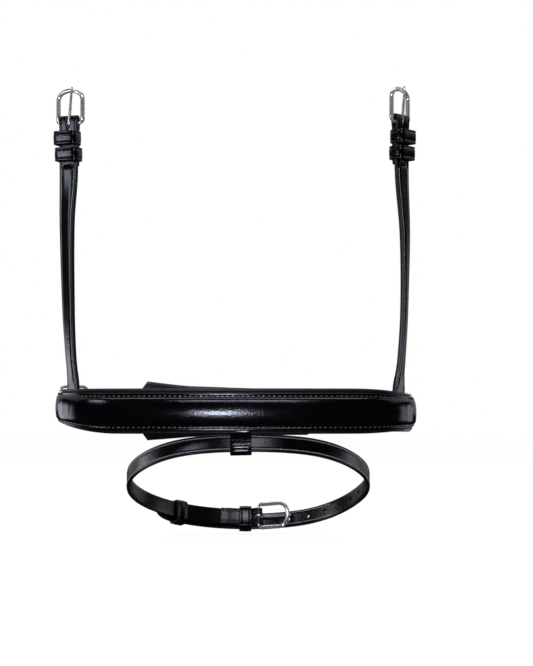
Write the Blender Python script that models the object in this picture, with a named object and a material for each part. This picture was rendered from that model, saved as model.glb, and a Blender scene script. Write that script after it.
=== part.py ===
"""A raised, padded noseband of a riding bridle with a flash strap, built piece by piece.

Units are metres and +Z is up. The origin is the middle of the lining's inner face, where the
nosepiece lies on the horse's nose. -Y is the front, and +X is the right side seen from the front.
"""

import math

import bmesh
import bpy
from mathutils import Matrix, Vector

# Clearances
LAYER_GAP = 0.0003
FIT_GAP = 0.0003
CUT_OVERRUN = 0.004

# Nosepiece, as a band whose line is a flat front arc, two tight corners and two short tails
FRONT_RADIUS = 0.350
CORNER_RADIUS = 0.055
NOSE_HALF_SPAN = 0.1318
NOSE_TAIL = 0.0045
FACING_WIDTH = 0.0275
LINING_WIDTH = 0.0320
END_WIDTH_SHARE = 0.72
TAPER_START_SHARE = 0.52
FACING_THICKNESS = 0.0012
BACKING_THICKNESS = 0.0020
LINING_THICKNESS = 0.0050
LINING_EDGE_THICKNESS = 0.0026
RAISE_WIDTH = 0.0208
RAISE_HEIGHT = 0.0034
RAISE_FADE = 0.016
RAISE_SIDE_POWER = 3
RAISE_ROUNDNESS = 0.6
LEFT_END_RISE = 0.0024
RIGHT_END_RISE = -0.0010
FRONT_STEPS = 7
SEWN_STEPS = 20
END_STEPS = 22
FACING_ROWS = 12
FILLER_ROWS = 8

# Rings at the two ends of the nosepiece, of round wire
RING_WIRE_RADIUS = 0.0012
RING_HEIGHT = 0.0300
RING_LENGTH = 0.0262
RING_CORNER_RADIUS = 0.0034
RING_TURN = math.radians(38)
LEFT_RING_RISE = 0.0032
RIGHT_RING_RISE = 0.0017
CHAPE_WIDTH = 0.0154
CHAPE_THICKNESS = 0.0018
CHAPE_SEWN_LENGTH = 0.012
RING_OUTSET = 0.0022
CHAPE_START_TURN = math.radians(186)

# Straps of half an inch: the two cheek straps and the flash strap
STRAP_WIDTH = 0.0127
STRAP_THICKNESS = 0.0030
FOLD_THICKNESS = 0.0018
RETURN_LENGTH = 0.0320
CONVERGE_LENGTH = 0.0070
FOLD_STEPS = 8
RETURN_STEPS = 4
SLOT_WIDTH = 0.0032
SLOT_REACH = 0.0062
CHEEK_FOLD_SLACK = 0.0027
HOLE_RADIUS = 0.0019

# Buckles, one pattern for every strap
BAR_RADIUS = 0.0011
FRAME_WIRE_RADIUS = 0.0014
FRAME_INNER_WIDTH = 0.0156
FRAME_LENGTH = 0.0268
FRAME_BOW_RISE = 0.0078
FRAME_HEEL_RADIUS = 0.0024
PRONG_RADIUS = 0.0009
PRONG_OVERHANG = 0.0006
PRONG_EYE_START = math.radians(-38)
PRONG_EYE_SWEEP = math.radians(232)
PRONG_TIP_SHARE = 0.7
BOW_ROUNDNESS = 0.8
BOW_STEPS = 14
PRONG_EYE_STEPS = 9

# Keepers: the fixed ones and the sliding runners
KEEPER_WALL = 0.0016
KEEPER_LENGTH = 0.0100
KEEPER_PLAY = 0.0014
KEEPER_DEPTH_PLAY = 0.0005
KEEPER_CORNER_RADIUS = 0.0022
STRAP_ROOM = 0.0031
KEEPER_FROM_BAR = 0.0112
RUNNER_GAP = 0.0022

# Cheek straps
CHEEK_SEAM_TURN = math.radians(55)
LEFT_CHEEK_LENGTH = 0.1968
RIGHT_CHEEK_LENGTH = 0.1996
CHEEK_BOW = 0.0046
LEFT_PRONG_LEAN = math.radians(6)
RIGHT_PRONG_LEAN = math.radians(4)
KEEPER_SHIFT = 0.0010
CHEEK_CROWN = 0.0010
CHEEK_KICK = 0.0004
TAB_THICKNESS = 0.0020
TAB_DEPTH = 0.0120
FOOT_START_TURN = math.radians(25)
FOOT_STEPS = 3
CHEEK_STEPS = 22

# Flash strap, a tilted round loop that hangs from the middle of the nosepiece
FLASH_RADIUS = 0.0924
FLASH_TILT = math.radians(20.2)
FLASH_OFFSET = 0.0094
FLASH_LOOP_OFFSET = 0.0035
FLASH_LOOP_WIDTH = 0.0156
FLASH_LOOP_WALL = 0.0015
FLASH_TAB_INSET = 0.0010
FLASH_LOOP_ROOM = 0.0007
FLASH_THICKNESS = 0.0026
FLASH_BAR_TURN = math.radians(5.9)
FLASH_TIP_TURN = math.radians(51)
FLASH_RUNNER_TURN = math.radians(36.5)
FLASH_TUCK_CLEARANCE = 0.0042
FLASH_TUCK_DROP = 0.0026
FLASH_HOLE_PITCH = 0.0170
FLASH_HOLES = 7
FLASH_FIRST_HOLE_TURN = math.radians(20.6)
FLASH_BUCKLE_TILT = math.radians(9)
TUCK_TURN = math.radians(75)
FLASH_STEPS = 96
LOOP_STEPS = 8

# Jaw strap and its pad, behind the nosepiece
JAW_DEPTH = 0.0660
JAW_STRAP_WIDTH = 0.0170
JAW_STRAP_THICKNESS = 0.0026
JAW_RETURN_LENGTH = 0.0240
JAW_MIDDLE_RISE = 0.0004
JAW_LEFT_RISE = 0.0034
JAW_RIGHT_RISE = 0.0004
JAW_FOLD_SLACK = 0.0006
PAD_HALF_LENGTH = 0.0840
PAD_WIDTH = 0.0462
PAD_THICKNESS = 0.0075
PAD_EDGE_THICKNESS = 0.0040
PAD_FACING_THICKNESS = 0.0014
PAD_FACING_INSET = 0.0012
JAW_BUCKLE_PLACE = 0.0160
JAW_CHAPE_LENGTH = 0.0340
JAW_TIP_PLACE = -0.0300
JAW_HOLE_PITCH = 0.0150
JAW_HOLES = 4
JAW_RUNNER_PLACE = -0.0140
PAD_LOOP_PLACE = 0.0560
JAW_RUNNER_SLIDE = 0.0040
PAD_SLIDE = 0.0060
PAD_LOOP_FOOT = 0.0050
JAW_STEPS = 36
BILLET_STEPS = 7
PAD_STEPS = 22

# Shares of the jaw buckle's length at which the billet starts to rise and lies over the bar
BILLET_RISE_SHARES = (0.62, 0.24)

# Shares of the pad's half-length, from its left end to its right, and of its half-width there
PAD_OUTLINE_SHARES = (
    (-1.0, 0.50), (-0.9, 0.70), (-0.84, 1.0), (-0.42, 0.89), (0.0, 0.83), (0.42, 0.81),
    (0.78, 0.79), (0.84, 0.62), (0.92, 0.46),
)

# Shares of a cheek strap's length from its foot, and of its bow there
LEFT_BOW_SHARES = ((0.0, 0.0), (0.13, 0.42), (0.29, 0.76), (0.62, 1.0), (0.8, 0.74), (1.0, 0.74))
RIGHT_BOW_SHARES = ((0.0, 0.0), (0.12, 0.46), (0.3, 0.9), (0.58, 1.0), (0.8, 0.5), (1.0, 0.5))
# Shares of a cheek strap's length from its foot, and of a quarter turn away from the front there
LEFT_TWIST_SHARES = (
    (0.0, 0.611), (0.08, 0.68), (0.3, 0.61), (0.63, 0.48), (0.84, 0.24), (1.0, 0.24),
)
RIGHT_TWIST_SHARES = (
    (0.0, 0.611), (0.08, 0.76), (0.3, 0.79), (0.57, 0.70), (0.84, 0.53), (1.0, 0.53),
)

LEFT, RIGHT = -1, 1
MATERIALS = {
    "black_leather": ((0.012, 0.012, 0.014), 0.32, 0.0),
    "black_lining": ((0.018, 0.018, 0.020), 0.55, 0.0),
    "felt_filler": ((0.10, 0.10, 0.10), 0.9, 0.0),
    "polished_steel": ((0.62, 0.62, 0.60), 0.18, 1.0),
}


# Scene, materials and the two ways in which a solid is made


def clear_scene():
    for obj in list(bpy.data.objects):
        bpy.data.objects.remove(obj, do_unlink=True)


def new_collection(name):
    collection = bpy.data.collections.new(name)
    bpy.context.scene.collection.children.link(collection)
    return collection


def finish_for(slot):
    """The Principled material of a slot, made once."""
    found = bpy.data.materials.get(slot)
    if found:
        return found
    color, roughness, metallic = MATERIALS[slot]
    material = bpy.data.materials.new(slot)
    material.use_nodes = True
    shader = material.node_tree.nodes["Principled BSDF"]
    shader.inputs["Base Color"].default_value = (*color, 1.0)
    shader.inputs["Roughness"].default_value = roughness
    shader.inputs["Metallic"].default_value = metallic
    return material


def add_object(name, data, slot, parent=None):
    """Links the data as a named piece, with its material, keeping its place under its parent."""
    obj = bpy.data.objects.new(name, data)
    PIECES.objects.link(obj)
    data.materials.append(finish_for(slot))
    if parent:
        obj.parent = parent
        obj.matrix_parent_inverse = parent.matrix_world.inverted()
    return obj


def add_pivot(name, location, parent=None):
    """An empty on a joint's axis, which carries the pieces that move with it."""
    pivot = bpy.data.objects.new(name, None)
    pivot.empty_display_size = STRAP_WIDTH
    pivot.matrix_world = Matrix.Translation(location)
    PIECES.objects.link(pivot)
    bpy.context.view_layer.update()
    if parent:
        world = pivot.matrix_world.copy()
        pivot.parent = parent
        pivot.matrix_parent_inverse = parent.matrix_world.inverted()
        pivot.matrix_world = world
    bpy.context.view_layer.update()
    return pivot


def slab_mesh(name, steps, rows, place):
    """A closed slab, extruded from a grid, whose corners place(u, v, d) puts where they belong.

    u runs along the piece, v across it and d through it, each from 0 to 1.
    """
    grid = bmesh.new()
    bmesh.ops.create_grid(grid, x_segments=steps, y_segments=rows, size=0.5)
    made = bmesh.ops.extrude_face_region(grid, geom=grid.faces[:])
    for item in made["geom"]:
        if isinstance(item, bmesh.types.BMVert):
            item.co.z = 1.0
    for vertex in grid.verts:
        vertex.co = place(vertex.co.x + 0.5, vertex.co.y + 0.5, vertex.co.z)
    bmesh.ops.recalc_face_normals(grid, faces=grid.faces[:])
    if grid.calc_volume(signed=True) < 0:
        bmesh.ops.reverse_faces(grid, faces=grid.faces[:])
    mesh = bpy.data.meshes.new(name)
    grid.to_mesh(mesh)
    grid.free()
    return mesh


def slab(name, steps, rows, place, slot, parent=None):
    return add_object(name, slab_mesh(name, steps, rows, place), slot, parent)


def cutter(name, steps, rows, place):
    """A slab that only cuts."""
    obj = bpy.data.objects.new(name, slab_mesh(name, steps, rows, place))
    return as_cutter(obj)


def as_cutter(obj):
    CUTTERS.objects.link(obj)
    obj.hide_render = True
    obj.display_type = "WIRE"
    return obj


def cut(obj, tool):
    """Cuts the tool out of the piece with the exact solver."""
    modifier = obj.modifiers.new("cut_" + tool.name, "BOOLEAN")
    modifier.operation = "DIFFERENCE"
    modifier.solver = "EXACT"
    modifier.object = tool


def clamp(value, low=0.0, high=1.0):
    return max(low, min(high, value))


def smooth(value):
    """0 below 0, 1 above 1, and a smooth step between."""
    t = clamp(value)
    return t * t * (3 - 2 * t)


def read_table(table, value):
    """The second number of the pairs in table, read at value with straight lines between them."""
    for (x0, y0), (x1, y1) in zip(table, table[1:]):
        if value <= x1:
            return y0 + (y1 - y0) * clamp((value - x0) / (x1 - x0))
    return table[-1][1]


def read_curve(table, value):
    """The second number of the pairs in table, read at value on a smooth curve through them."""

    def slope(i):
        (x0, y0), (x1, y1) = table[max(0, i - 1)], table[min(len(table) - 1, i + 1)]
        return 0.0 if i in (0, len(table) - 1) else (y1 - y0) / (x1 - x0)

    for i, ((x0, y0), (x1, y1)) in enumerate(zip(table, table[1:])):
        if value <= x1:
            t = clamp((value - x0) / (x1 - x0))
            step = smooth(t)
            before, after = slope(i) * (x1 - x0), slope(i + 1) * (x1 - x0)
            return y0 + (y1 - y0) * step + before * t * (1 - t) ** 2 - after * t * t * (1 - t)
    return table[-1][1]


# Folds: the side view of a strap, as (along, depth, thickness) stations


def arc_stations(along, depth, radius, start, end, thickness, steps):
    """Stations on an arc round a bar. Angle 0 points along the strap, and 90 degrees outwards."""
    found = []
    for i in range(steps + 1):
        angle = start + (end - start) * i / steps
        found.append(
            (along + radius * math.cos(angle), depth + radius * math.sin(angle), thickness)
        )
    return found


def fold_stations(bar_along, bar_depth, bar_reach, thickness, return_depth, return_end, side=1, slack=0):
    """Stations from the outer side of a bar, over its end and back along the strap.

    side is 1 where the strap goes on over the outer side and returns on the inner one. slack is
    how far the fold stands off beyond the bar.
    """
    radius = bar_reach + thickness / 2
    direction = math.copysign(1, bar_along - return_end)
    arc = arc_stations(0, 0, radius, math.radians(90), math.radians(-90), thickness, FOLD_STEPS)
    if slack:
        arc = [(-slack, radius, thickness)] + arc + [(-slack, -radius, thickness)]
    middle = bar_along + direction * slack
    found = [(middle + direction * x, bar_depth + side * y, t) for x, y, t in arc]
    close = bar_along - direction * CONVERGE_LENGTH
    for i in range(RETURN_STEPS + 1):
        found.append((close + (return_end - close) * i / RETURN_STEPS, return_depth, thickness))
    return found


def strap_mesh(name, stations, frame, width, rows=1, crown=None):
    """A strap whose side view is stations, laid on frame(along) = (point, along, across, out)."""
    count = len(stations) - 1

    def place(u, v, d):
        i = min(count, round(u * count))
        along, depth, thickness = stations[i]
        before = stations[max(0, i - 1)]
        after = stations[min(count, i + 1)]
        run = Vector((after[0] - before[0], after[1] - before[1]))
        run.normalize()
        shift = (d - 0.5) * thickness
        if crown and d > 0.5:
            shift += crown(along, 2 * v - 1)
        point, _, across, out = frame(along - run.y * shift)
        return point + out * (depth + run.x * shift) + across * (v - 0.5) * width

    return slab_mesh(name, count, rows, place)


def strap(name, stations, frame, width, slot, parent=None, rows=1, crown=None):
    return add_object(name, strap_mesh(name, stations, frame, width, rows, crown), slot, parent)


# Wire pieces: rings, buckle frames and prongs


def wire_curve(name, points, radius, cyclic, resolution=2, scales=None):
    """A curve with a round section through points, with its caps filled where it is open."""
    curve = bpy.data.curves.new(name, "CURVE")
    curve.dimensions = "3D"
    curve.bevel_depth = radius
    curve.bevel_resolution = resolution
    curve.use_fill_caps = True
    spline = curve.splines.new("POLY")
    spline.points.add(len(points) - 1)
    for i, point in enumerate(points):
        spline.points[i].co = (*point, 1.0)
        spline.points[i].radius = scales[i] if scales else 1.0
    spline.use_cyclic_u = cyclic
    return curve


def basis(point, x_axis, y_axis, z_axis):
    """The matrix that takes local x, y and z to three world directions at a point."""
    matrix = Matrix.Identity(4)
    for column, axis in enumerate((x_axis, y_axis, z_axis)):
        for row in range(3):
            matrix[row][column] = axis[row]
    return Matrix.Translation(point) @ matrix


def add_placed(name, data, slot, matrix, parent):
    """Adds a piece that is drawn in its own plane and placed by a matrix."""
    obj = add_object(name, data, slot)
    obj.matrix_world = matrix
    if parent:
        obj.parent = parent
        obj.matrix_parent_inverse = parent.matrix_world.inverted()
    return obj


def corner_points(x, y, radius, start, steps):
    """Points of a quarter turn about (x, y), from the angle start."""
    found = []
    for i in range(steps + 1):
        angle = start + math.radians(90) * i / steps
        found.append((x + radius * math.cos(angle), y + radius * math.sin(angle)))
    return found


def rounded_rectangle(width, height, radius, steps):
    """The corners of a rectangle about the origin, each turned by a quarter circle."""
    x, y = width / 2 - radius, height / 2 - radius
    quarter = math.radians(90)
    points = []
    for i, (sx, sy) in enumerate(((1, 1), (-1, 1), (-1, -1), (1, -1))):
        points += corner_points(sx * x, sy * y, radius, i * quarter, steps)
    return points


def ring_curve(name):
    """A rounded rectangle of wire in its local xz plane. Its near bar is the local z axis."""
    length = RING_LENGTH - 2 * RING_WIRE_RADIUS
    height = RING_HEIGHT - 2 * RING_WIRE_RADIUS
    outline = rounded_rectangle(length, height, RING_CORNER_RADIUS, 4)
    points = [(x + length / 2, 0, z) for x, z in outline]
    return wire_curve(name, points, RING_WIRE_RADIUS, True)


def frame_outline():
    """The buckle frame's line: its bar on the local x axis, its sides and its bow along +y."""
    half = FRAME_INNER_WIDTH / 2 + FRAME_WIRE_RADIUS
    length = FRAME_LENGTH - FRAME_WIRE_RADIUS - BAR_RADIUS
    spring = length - FRAME_BOW_RISE
    heel = FRAME_HEEL_RADIUS
    right = corner_points(half - heel, heel, heel, math.radians(-90), 4)
    bow = []
    for i in range(BOW_STEPS + 1):
        angle = math.radians(180) * i / BOW_STEPS
        bow.append((half * math.cos(angle), spring + FRAME_BOW_RISE * math.sin(angle) ** BOW_ROUNDNESS))
    left = [(-x, y) for x, y in reversed(right)]
    return right + bow + left


def frame_curve(name):
    points = frame_outline()
    bar_scale = BAR_RADIUS / FRAME_WIRE_RADIUS
    scales = [bar_scale if y < FRAME_HEEL_RADIUS / 2 else 1.0 for _, y in points]
    return wire_curve(name, [(x, y, 0) for x, y in points], FRAME_WIRE_RADIUS, True, 2, scales)


def prong_points(lean):
    """The prong's line: an open eye round the bar, a shank that may lean, and a bent tip."""
    eye = BAR_RADIUS + FIT_GAP + PRONG_RADIUS
    bow = FRAME_LENGTH - FRAME_WIRE_RADIUS - BAR_RADIUS
    rest = FRAME_WIRE_RADIUS + FIT_GAP + PRONG_RADIUS
    points = []
    for i in range(PRONG_EYE_STEPS + 1):
        angle = PRONG_EYE_START - PRONG_EYE_SWEEP * i / PRONG_EYE_STEPS
        points.append((0, eye * math.cos(angle), eye * math.sin(angle)))
    points.append((0, bow / 2, (eye + rest) / 2))
    points.append((0, bow - FRAME_WIRE_RADIUS, rest))
    points.append((0, bow + FRAME_WIRE_RADIUS, rest))
    points.append((0, bow + FRAME_WIRE_RADIUS + PRONG_OVERHANG, rest - PRONG_OVERHANG / 2))
    return [(y * math.tan(lean), y, z) for _, y, z in points]


def prong_curve(name, lean=0.0):
    points = prong_points(lean)
    scales = [1.0] * (len(points) - 1) + [PRONG_TIP_SHARE]
    return wire_curve(name, points, PRONG_RADIUS, False, 2, scales)


def keeper_curve(name, inner_width, inner_depth, wall, length):
    """A flat leather loop: a rounded outline with a rounded hole, extruded along the strap."""
    curve = bpy.data.curves.new(name, "CURVE")
    curve.dimensions = "2D"
    curve.fill_mode = "BOTH"
    curve.extrude = length / 2
    inner_radius = KEEPER_CORNER_RADIUS - wall
    outer = rounded_rectangle(
        inner_width + 2 * wall, inner_depth + 2 * wall, KEEPER_CORNER_RADIUS, 3
    )
    inner = rounded_rectangle(inner_width, inner_depth, inner_radius, 2)
    for outline in (outer, inner):
        spline = curve.splines.new("POLY")
        spline.points.add(len(outline) - 1)
        for point, (x, y) in zip(spline.points, outline):
            point.co = (x, y, 0, 1)
        spline.use_cyclic_u = True
    return curve


# Nosepiece


def corner_start():
    """The turn at which the front arc ends and the corner starts."""
    return math.asin((NOSE_HALF_SPAN - CORNER_RADIUS) / (FRONT_RADIUS - CORNER_RADIUS))


def nose_half_length():
    start = corner_start()
    return FRONT_RADIUS * start + CORNER_RADIUS * (math.pi / 2 - start) + NOSE_TAIL


def nose_turn(distance):
    """How far the band has turned from facing the front, at a distance from its middle."""
    start = corner_start()
    reach = abs(distance)
    front = FRONT_RADIUS * start
    if reach <= front:
        turn = reach / FRONT_RADIUS
    else:
        turn = min(math.pi / 2, start + (reach - front) / CORNER_RADIUS)
    return math.copysign(turn, distance)


def nose_distance(turn):
    """The distance from the middle at which the corner has turned by turn."""
    start = corner_start()
    return FRONT_RADIUS * start + CORNER_RADIUS * (turn - start)


def nose_station(index):
    """The distance from the middle of one of the band's steps, which are closer in the corners."""
    front = FRONT_RADIUS * corner_start()
    ends = ((0, 0.0), (FRONT_STEPS, front), (SEWN_STEPS, sewn_length()), (END_STEPS, nose_half_length()))
    return math.copysign(read_table(ends, abs(index)), index)


def end_rise(distance):
    rise = RIGHT_END_RISE if distance > 0 else LEFT_END_RISE
    half = nose_half_length()
    return rise * smooth((abs(distance) - half * TAPER_START_SHARE) / (half - half * TAPER_START_SHARE))


def nose_frame(distance):
    """Point, along, across and out of the band's line. The line is the backing's inner face."""
    start = corner_start()
    side = math.copysign(1, distance)
    turn = abs(nose_turn(distance))
    front = FRONT_RADIUS * start
    tail = max(0.0, abs(distance) - (front + CORNER_RADIUS * (math.pi / 2 - start)))
    if turn <= start:
        x = FRONT_RADIUS * math.sin(turn)
        y = FRONT_RADIUS * (1 - math.cos(turn))
    else:
        x = FRONT_RADIUS * math.sin(start) + CORNER_RADIUS * (math.sin(turn) - math.sin(start))
        y = FRONT_RADIUS * (1 - math.cos(start)) + CORNER_RADIUS * (math.cos(start) - math.cos(turn))
    y += tail - LINING_THICKNESS - LAYER_GAP
    point = Vector((side * x, y, end_rise(distance)))
    along = Vector((math.cos(turn), side * math.sin(turn), 0))
    out = Vector((side * math.sin(turn), -math.cos(turn), 0))
    return point, along, Vector((0, 0, 1)), out


def width_share(distance):
    """The band's width as a share of its full width: full in front, narrower at the ends."""
    half = nose_half_length()
    start = half * TAPER_START_SHARE
    return 1 - (1 - END_WIDTH_SHARE) * smooth((abs(distance) - start) / (half - start))


def raise_at(distance, height):
    """How far the raised middle stands over the flat margins."""
    half = RAISE_WIDTH / 2 * width_share(distance)
    share = min(1.0, abs(height) / half)
    fade = smooth((nose_half_length() - abs(distance) - FIT_GAP) / RAISE_FADE)
    return RAISE_HEIGHT * fade * (1 - share**RAISE_SIDE_POWER) ** RAISE_ROUNDNESS


def layer_place(steps, width, bottom, top):
    """place() of one layer of the band. bottom and top give its depths at (distance, height)."""

    def place(u, v, d):
        distance = nose_station(round((2 * u - 1) * steps))
        height = (v - 0.5) * width * width_share(distance)
        depth = top(distance, height) if d > 0.5 else bottom(distance, height)
        point, _, across, out = nose_frame(distance)
        return point + out * depth + across * height

    return place


def facing_base(_distance, _height):
    return BACKING_THICKNESS + LAYER_GAP


def facing_inner(distance, height):
    return facing_base(distance, height) + raise_at(distance, height)


def facing_outer(distance, height):
    return facing_inner(distance, height) + FACING_THICKNESS


def filler_top(distance, height):
    return facing_inner(distance, height) - LAYER_GAP


def lining_inner(distance, height):
    """The lining's crowned inner face, thinner along its two edges."""
    half = LINING_WIDTH / 2 * width_share(distance)
    share = min(1.0, abs(height) / half)
    thickness = LINING_EDGE_THICKNESS + (LINING_THICKNESS - LINING_EDGE_THICKNESS) * (1 - share**4)
    return -LAYER_GAP - thickness


def sewn_length():
    """Half the length of the layers that stop where the ring chapes start."""
    return nose_half_length() - CHAPE_SEWN_LENGTH - FIT_GAP


def seam_distance():
    return nose_distance(CHEEK_SEAM_TURN)


def lining_edge():
    """The height of the lining's upper edge where a cheek strap is sewn in, over the band's line."""
    return LINING_WIDTH / 2 * width_share(seam_distance() - STRAP_WIDTH / 2)


def build_nosepiece():
    facing = layer_place(END_STEPS, FACING_WIDTH, facing_inner, facing_outer)
    slab("nose_facing", 2 * END_STEPS, FACING_ROWS, facing, "black_leather")

    steps = END_STEPS - 1
    width = FACING_WIDTH * FILLER_ROWS / FACING_ROWS
    filler = layer_place(steps, width, lambda s, h: facing_base(s, h), filler_top)
    slab("nose_raise_filler", 2 * steps, FILLER_ROWS, filler, "felt_filler")

    backing = layer_place(SEWN_STEPS, FACING_WIDTH, lambda s, h: 0, lambda s, h: BACKING_THICKNESS)
    slab("nose_backing", 2 * SEWN_STEPS, 1, backing, "black_leather")

    lining = layer_place(SEWN_STEPS, LINING_WIDTH, lining_inner, lambda s, h: -LAYER_GAP)
    pad = slab("nose_lining", 2 * SEWN_STEPS, 7, lining, "black_lining")
    for name, place in pocket_places():
        cut(pad, cutter(name, 4, 1, place))


def tab_place(distance, low, high, width, grow):
    """place() of a sewn-in tab, or with grow of the pocket that it lies in."""

    def place(u, v, d):
        along = distance + (u - 0.5) * (width + 2 * grow)
        point, _, across, out = nose_frame(along)
        level = nose_frame(distance)[0].z
        floor = -LAYER_GAP - TAB_THICKNESS - grow
        depth = floor + d * (TAB_THICKNESS + (CUT_OVERRUN if grow else 0))
        height = low - grow + v * (high - low + grow)
        return Vector((point.x, point.y, level)) + out * depth + across * height

    return place


def cheek_tab_heights():
    top = lining_edge()
    return top - TAB_DEPTH, top


def flash_tab_heights():
    bottom = FLASH_TAB_INSET - LINING_WIDTH / 2
    return bottom, bottom + TAB_DEPTH


def pocket_places():
    """The hollows in the lining for the three tabs that are sewn in over it."""
    low, high = cheek_tab_heights()
    reach = high + CUT_OVERRUN
    for side, name in ((LEFT, "left_tab_pocket"), (RIGHT, "right_tab_pocket")):
        yield name, tab_place(side * seam_distance(), low, reach, STRAP_WIDTH, FIT_GAP)
    low, high = flash_tab_heights()
    reach = low - CUT_OVERRUN
    place = tab_place(FLASH_LOOP_OFFSET, reach, high + FIT_GAP, FLASH_LOOP_WIDTH, FIT_GAP)
    yield "flash_tab_pocket", place


def build_tabs():
    low, high = cheek_tab_heights()
    for side, name in ((LEFT, "left_cheek_tab"), (RIGHT, "right_cheek_tab")):
        slab(name, 4, 1, tab_place(side * seam_distance(), low, high, STRAP_WIDTH, 0), "black_leather")
    low, high = flash_tab_heights()
    place = tab_place(FLASH_LOOP_OFFSET, low, high, FLASH_LOOP_WIDTH, 0)
    slab("flash_loop_tab", 2, 1, place, "black_leather")


# Rings and the chapes that hold them


def chape_reach():
    """From the middle of a ring's bar to the middle of the leather round it."""
    return RING_WIRE_RADIUS + FIT_GAP + CHAPE_THICKNESS / 2


def near_bar_distance():
    """The distance along the band of a ring's near bar, clear of the end of the facing."""
    return nose_half_length() + FIT_GAP + CHAPE_THICKNESS / 2 + chape_reach()


def near_bar_point(side):
    """Where the near bar of a ring stands, in the fold at the end of the nosepiece."""
    point, _, _, out = nose_frame(side * near_bar_distance())
    return point + out * RING_OUTSET


def ring_direction(side):
    return Vector((-side * math.cos(RING_TURN), math.sin(RING_TURN), 0))


def ring_rise(side):
    return LEFT_RING_RISE if side == LEFT else RIGHT_RING_RISE


def far_bar_point(side):
    reach = RING_LENGTH - 2 * RING_WIRE_RADIUS
    return near_bar_point(side) + ring_direction(side) * reach


def build_ring(side, name, parent):
    """A ring, its near bar standing in the fold at the end of the nosepiece."""
    near = near_bar_point(side) + Vector((0, 0, ring_rise(side)))
    x_axis = ring_direction(side)
    z_axis = Vector((0, 0, 1))
    matrix = basis(near, x_axis, z_axis.cross(x_axis), z_axis)
    pivot = add_pivot(name + "_pivot", near, parent)
    add_placed(name, ring_curve(name), "polished_steel", matrix, pivot)
    return pivot


def build_chape(side, name):
    """The leather fold round a ring's near bar, sewn between the facing and the lining."""
    bar = near_bar_distance()
    reach = chape_reach()
    middle = BACKING_THICKNESS / 2
    second = middle - CHAPE_THICKNESS - LAYER_GAP
    sewn = nose_half_length() - CHAPE_SEWN_LENGTH
    edge = nose_half_length() + FIT_GAP
    stations = [(sewn, middle, CHAPE_THICKNESS), ((sewn + edge) / 2, middle, CHAPE_THICKNESS)]
    stations.append((edge, middle, CHAPE_THICKNESS))
    start, end = CHAPE_START_TURN, math.radians(-90)
    stations += arc_stations(bar, RING_OUTSET, reach, start, end, CHAPE_THICKNESS, 2 * FOLD_STEPS)
    stations.append((edge, second, CHAPE_THICKNESS))
    stations.append((sewn, second, CHAPE_THICKNESS))

    def frame(along):
        point, direction, across, out = nose_frame(side * along)
        return point, direction * side, across, out

    strap(name, stations, frame, CHAPE_WIDTH, "black_leather")


# Cheek straps


def cheek_hinge(side):
    """Where a cheek strap bends, just above the edge of the lining that holds its tab."""
    point, _, _, out = nose_frame(side * seam_distance())
    rise = lining_edge() + STRAP_THICKNESS / 2 + 2 * FIT_GAP
    return point + out * (-LAYER_GAP - TAB_THICKNESS / 2) + Vector((0, 0, rise))


def cheek_length(side):
    return LEFT_CHEEK_LENGTH if side == LEFT else RIGHT_CHEEK_LENGTH


def cheek_frame_for(side):
    """frame() of a cheek strap, by the height above its bend. It bows and untwists upwards."""
    hinge = cheek_hinge(side)
    length = cheek_length(side)
    bows = LEFT_BOW_SHARES if side == LEFT else RIGHT_BOW_SHARES
    twists = LEFT_TWIST_SHARES if side == LEFT else RIGHT_TWIST_SHARES

    def frame(height):
        share = clamp(height / length)
        turn = math.radians(90) * read_curve(twists, share)
        bow = CHEEK_BOW * read_curve(bows, share)
        kick = CHEEK_KICK * clamp((height - length + SLOT_REACH) / SLOT_REACH)
        out = Vector((side * math.sin(turn), -math.cos(turn), 0))
        point = hinge + Vector((side * bow, 0, height)) + out * kick
        along = Vector((0, 0, 1))
        return point, along, along.cross(out), out

    return frame


def bar_depth(thickness):
    """The depth of a buckle's bar under the middle of the strap that is folded round it."""
    return -(thickness / 2 + FIT_GAP + BAR_RADIUS)


def cheek_stations(length):
    """The strap's side view: its rounded foot, its long run, the fold round the bar, its return."""
    radius = STRAP_THICKNESS / 2
    found = []
    for i in range(FOOT_STEPS + 1):
        angle = FOOT_START_TURN + (math.radians(90) - FOOT_START_TURN) * i / FOOT_STEPS
        found.append((-radius * math.cos(angle), 0, 2 * radius * math.sin(angle)))
    free = length - RETURN_LENGTH
    for i in range(1, CHEEK_STEPS + 1):
        found.append((free * i / CHEEK_STEPS, 0, STRAP_THICKNESS))
    skive = (STRAP_THICKNESS - FOLD_THICKNESS) / 2
    found.append((free + CONVERGE_LENGTH, 0, STRAP_THICKNESS))
    found.append((length - SLOT_REACH, 0, STRAP_THICKNESS))
    fold = fold_stations(
        length,
        skive + bar_depth(FOLD_THICKNESS),
        BAR_RADIUS + FIT_GAP,
        FOLD_THICKNESS,
        -(STRAP_THICKNESS + FOLD_THICKNESS) / 2 - LAYER_GAP,
        free,
        slack=CHEEK_FOLD_SLACK,
    )
    return found + fold


def cheek_crown_for(length):
    """The raised middle of a cheek strap, which stops under the keepers."""
    free = length - RETURN_LENGTH

    def crown(along, v):
        ends = smooth(along / STRAP_WIDTH) * smooth((free - along) / CONVERGE_LENGTH)
        return CHEEK_CROWN * ends * (1.0 if abs(v) < 0.5 else 0.0)

    return crown


def frame_matrix(frame, along, depth, reverse=1):
    """A buckle's or keeper's place: x across, y along the strap and z outwards."""
    point, forward, _, out = frame(along)
    y_axis = forward * reverse
    return basis(point + out * depth, y_axis.cross(out), y_axis, out)


def keeper_matrix(frame, along, depth, drop=0.0):
    """A keeper's place: its loop's x across, its y outwards and its z along the strap."""
    point, forward, across, out = frame(along)
    place = point + out * depth + across * drop
    return basis(place, out.cross(forward), out, forward)


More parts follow.
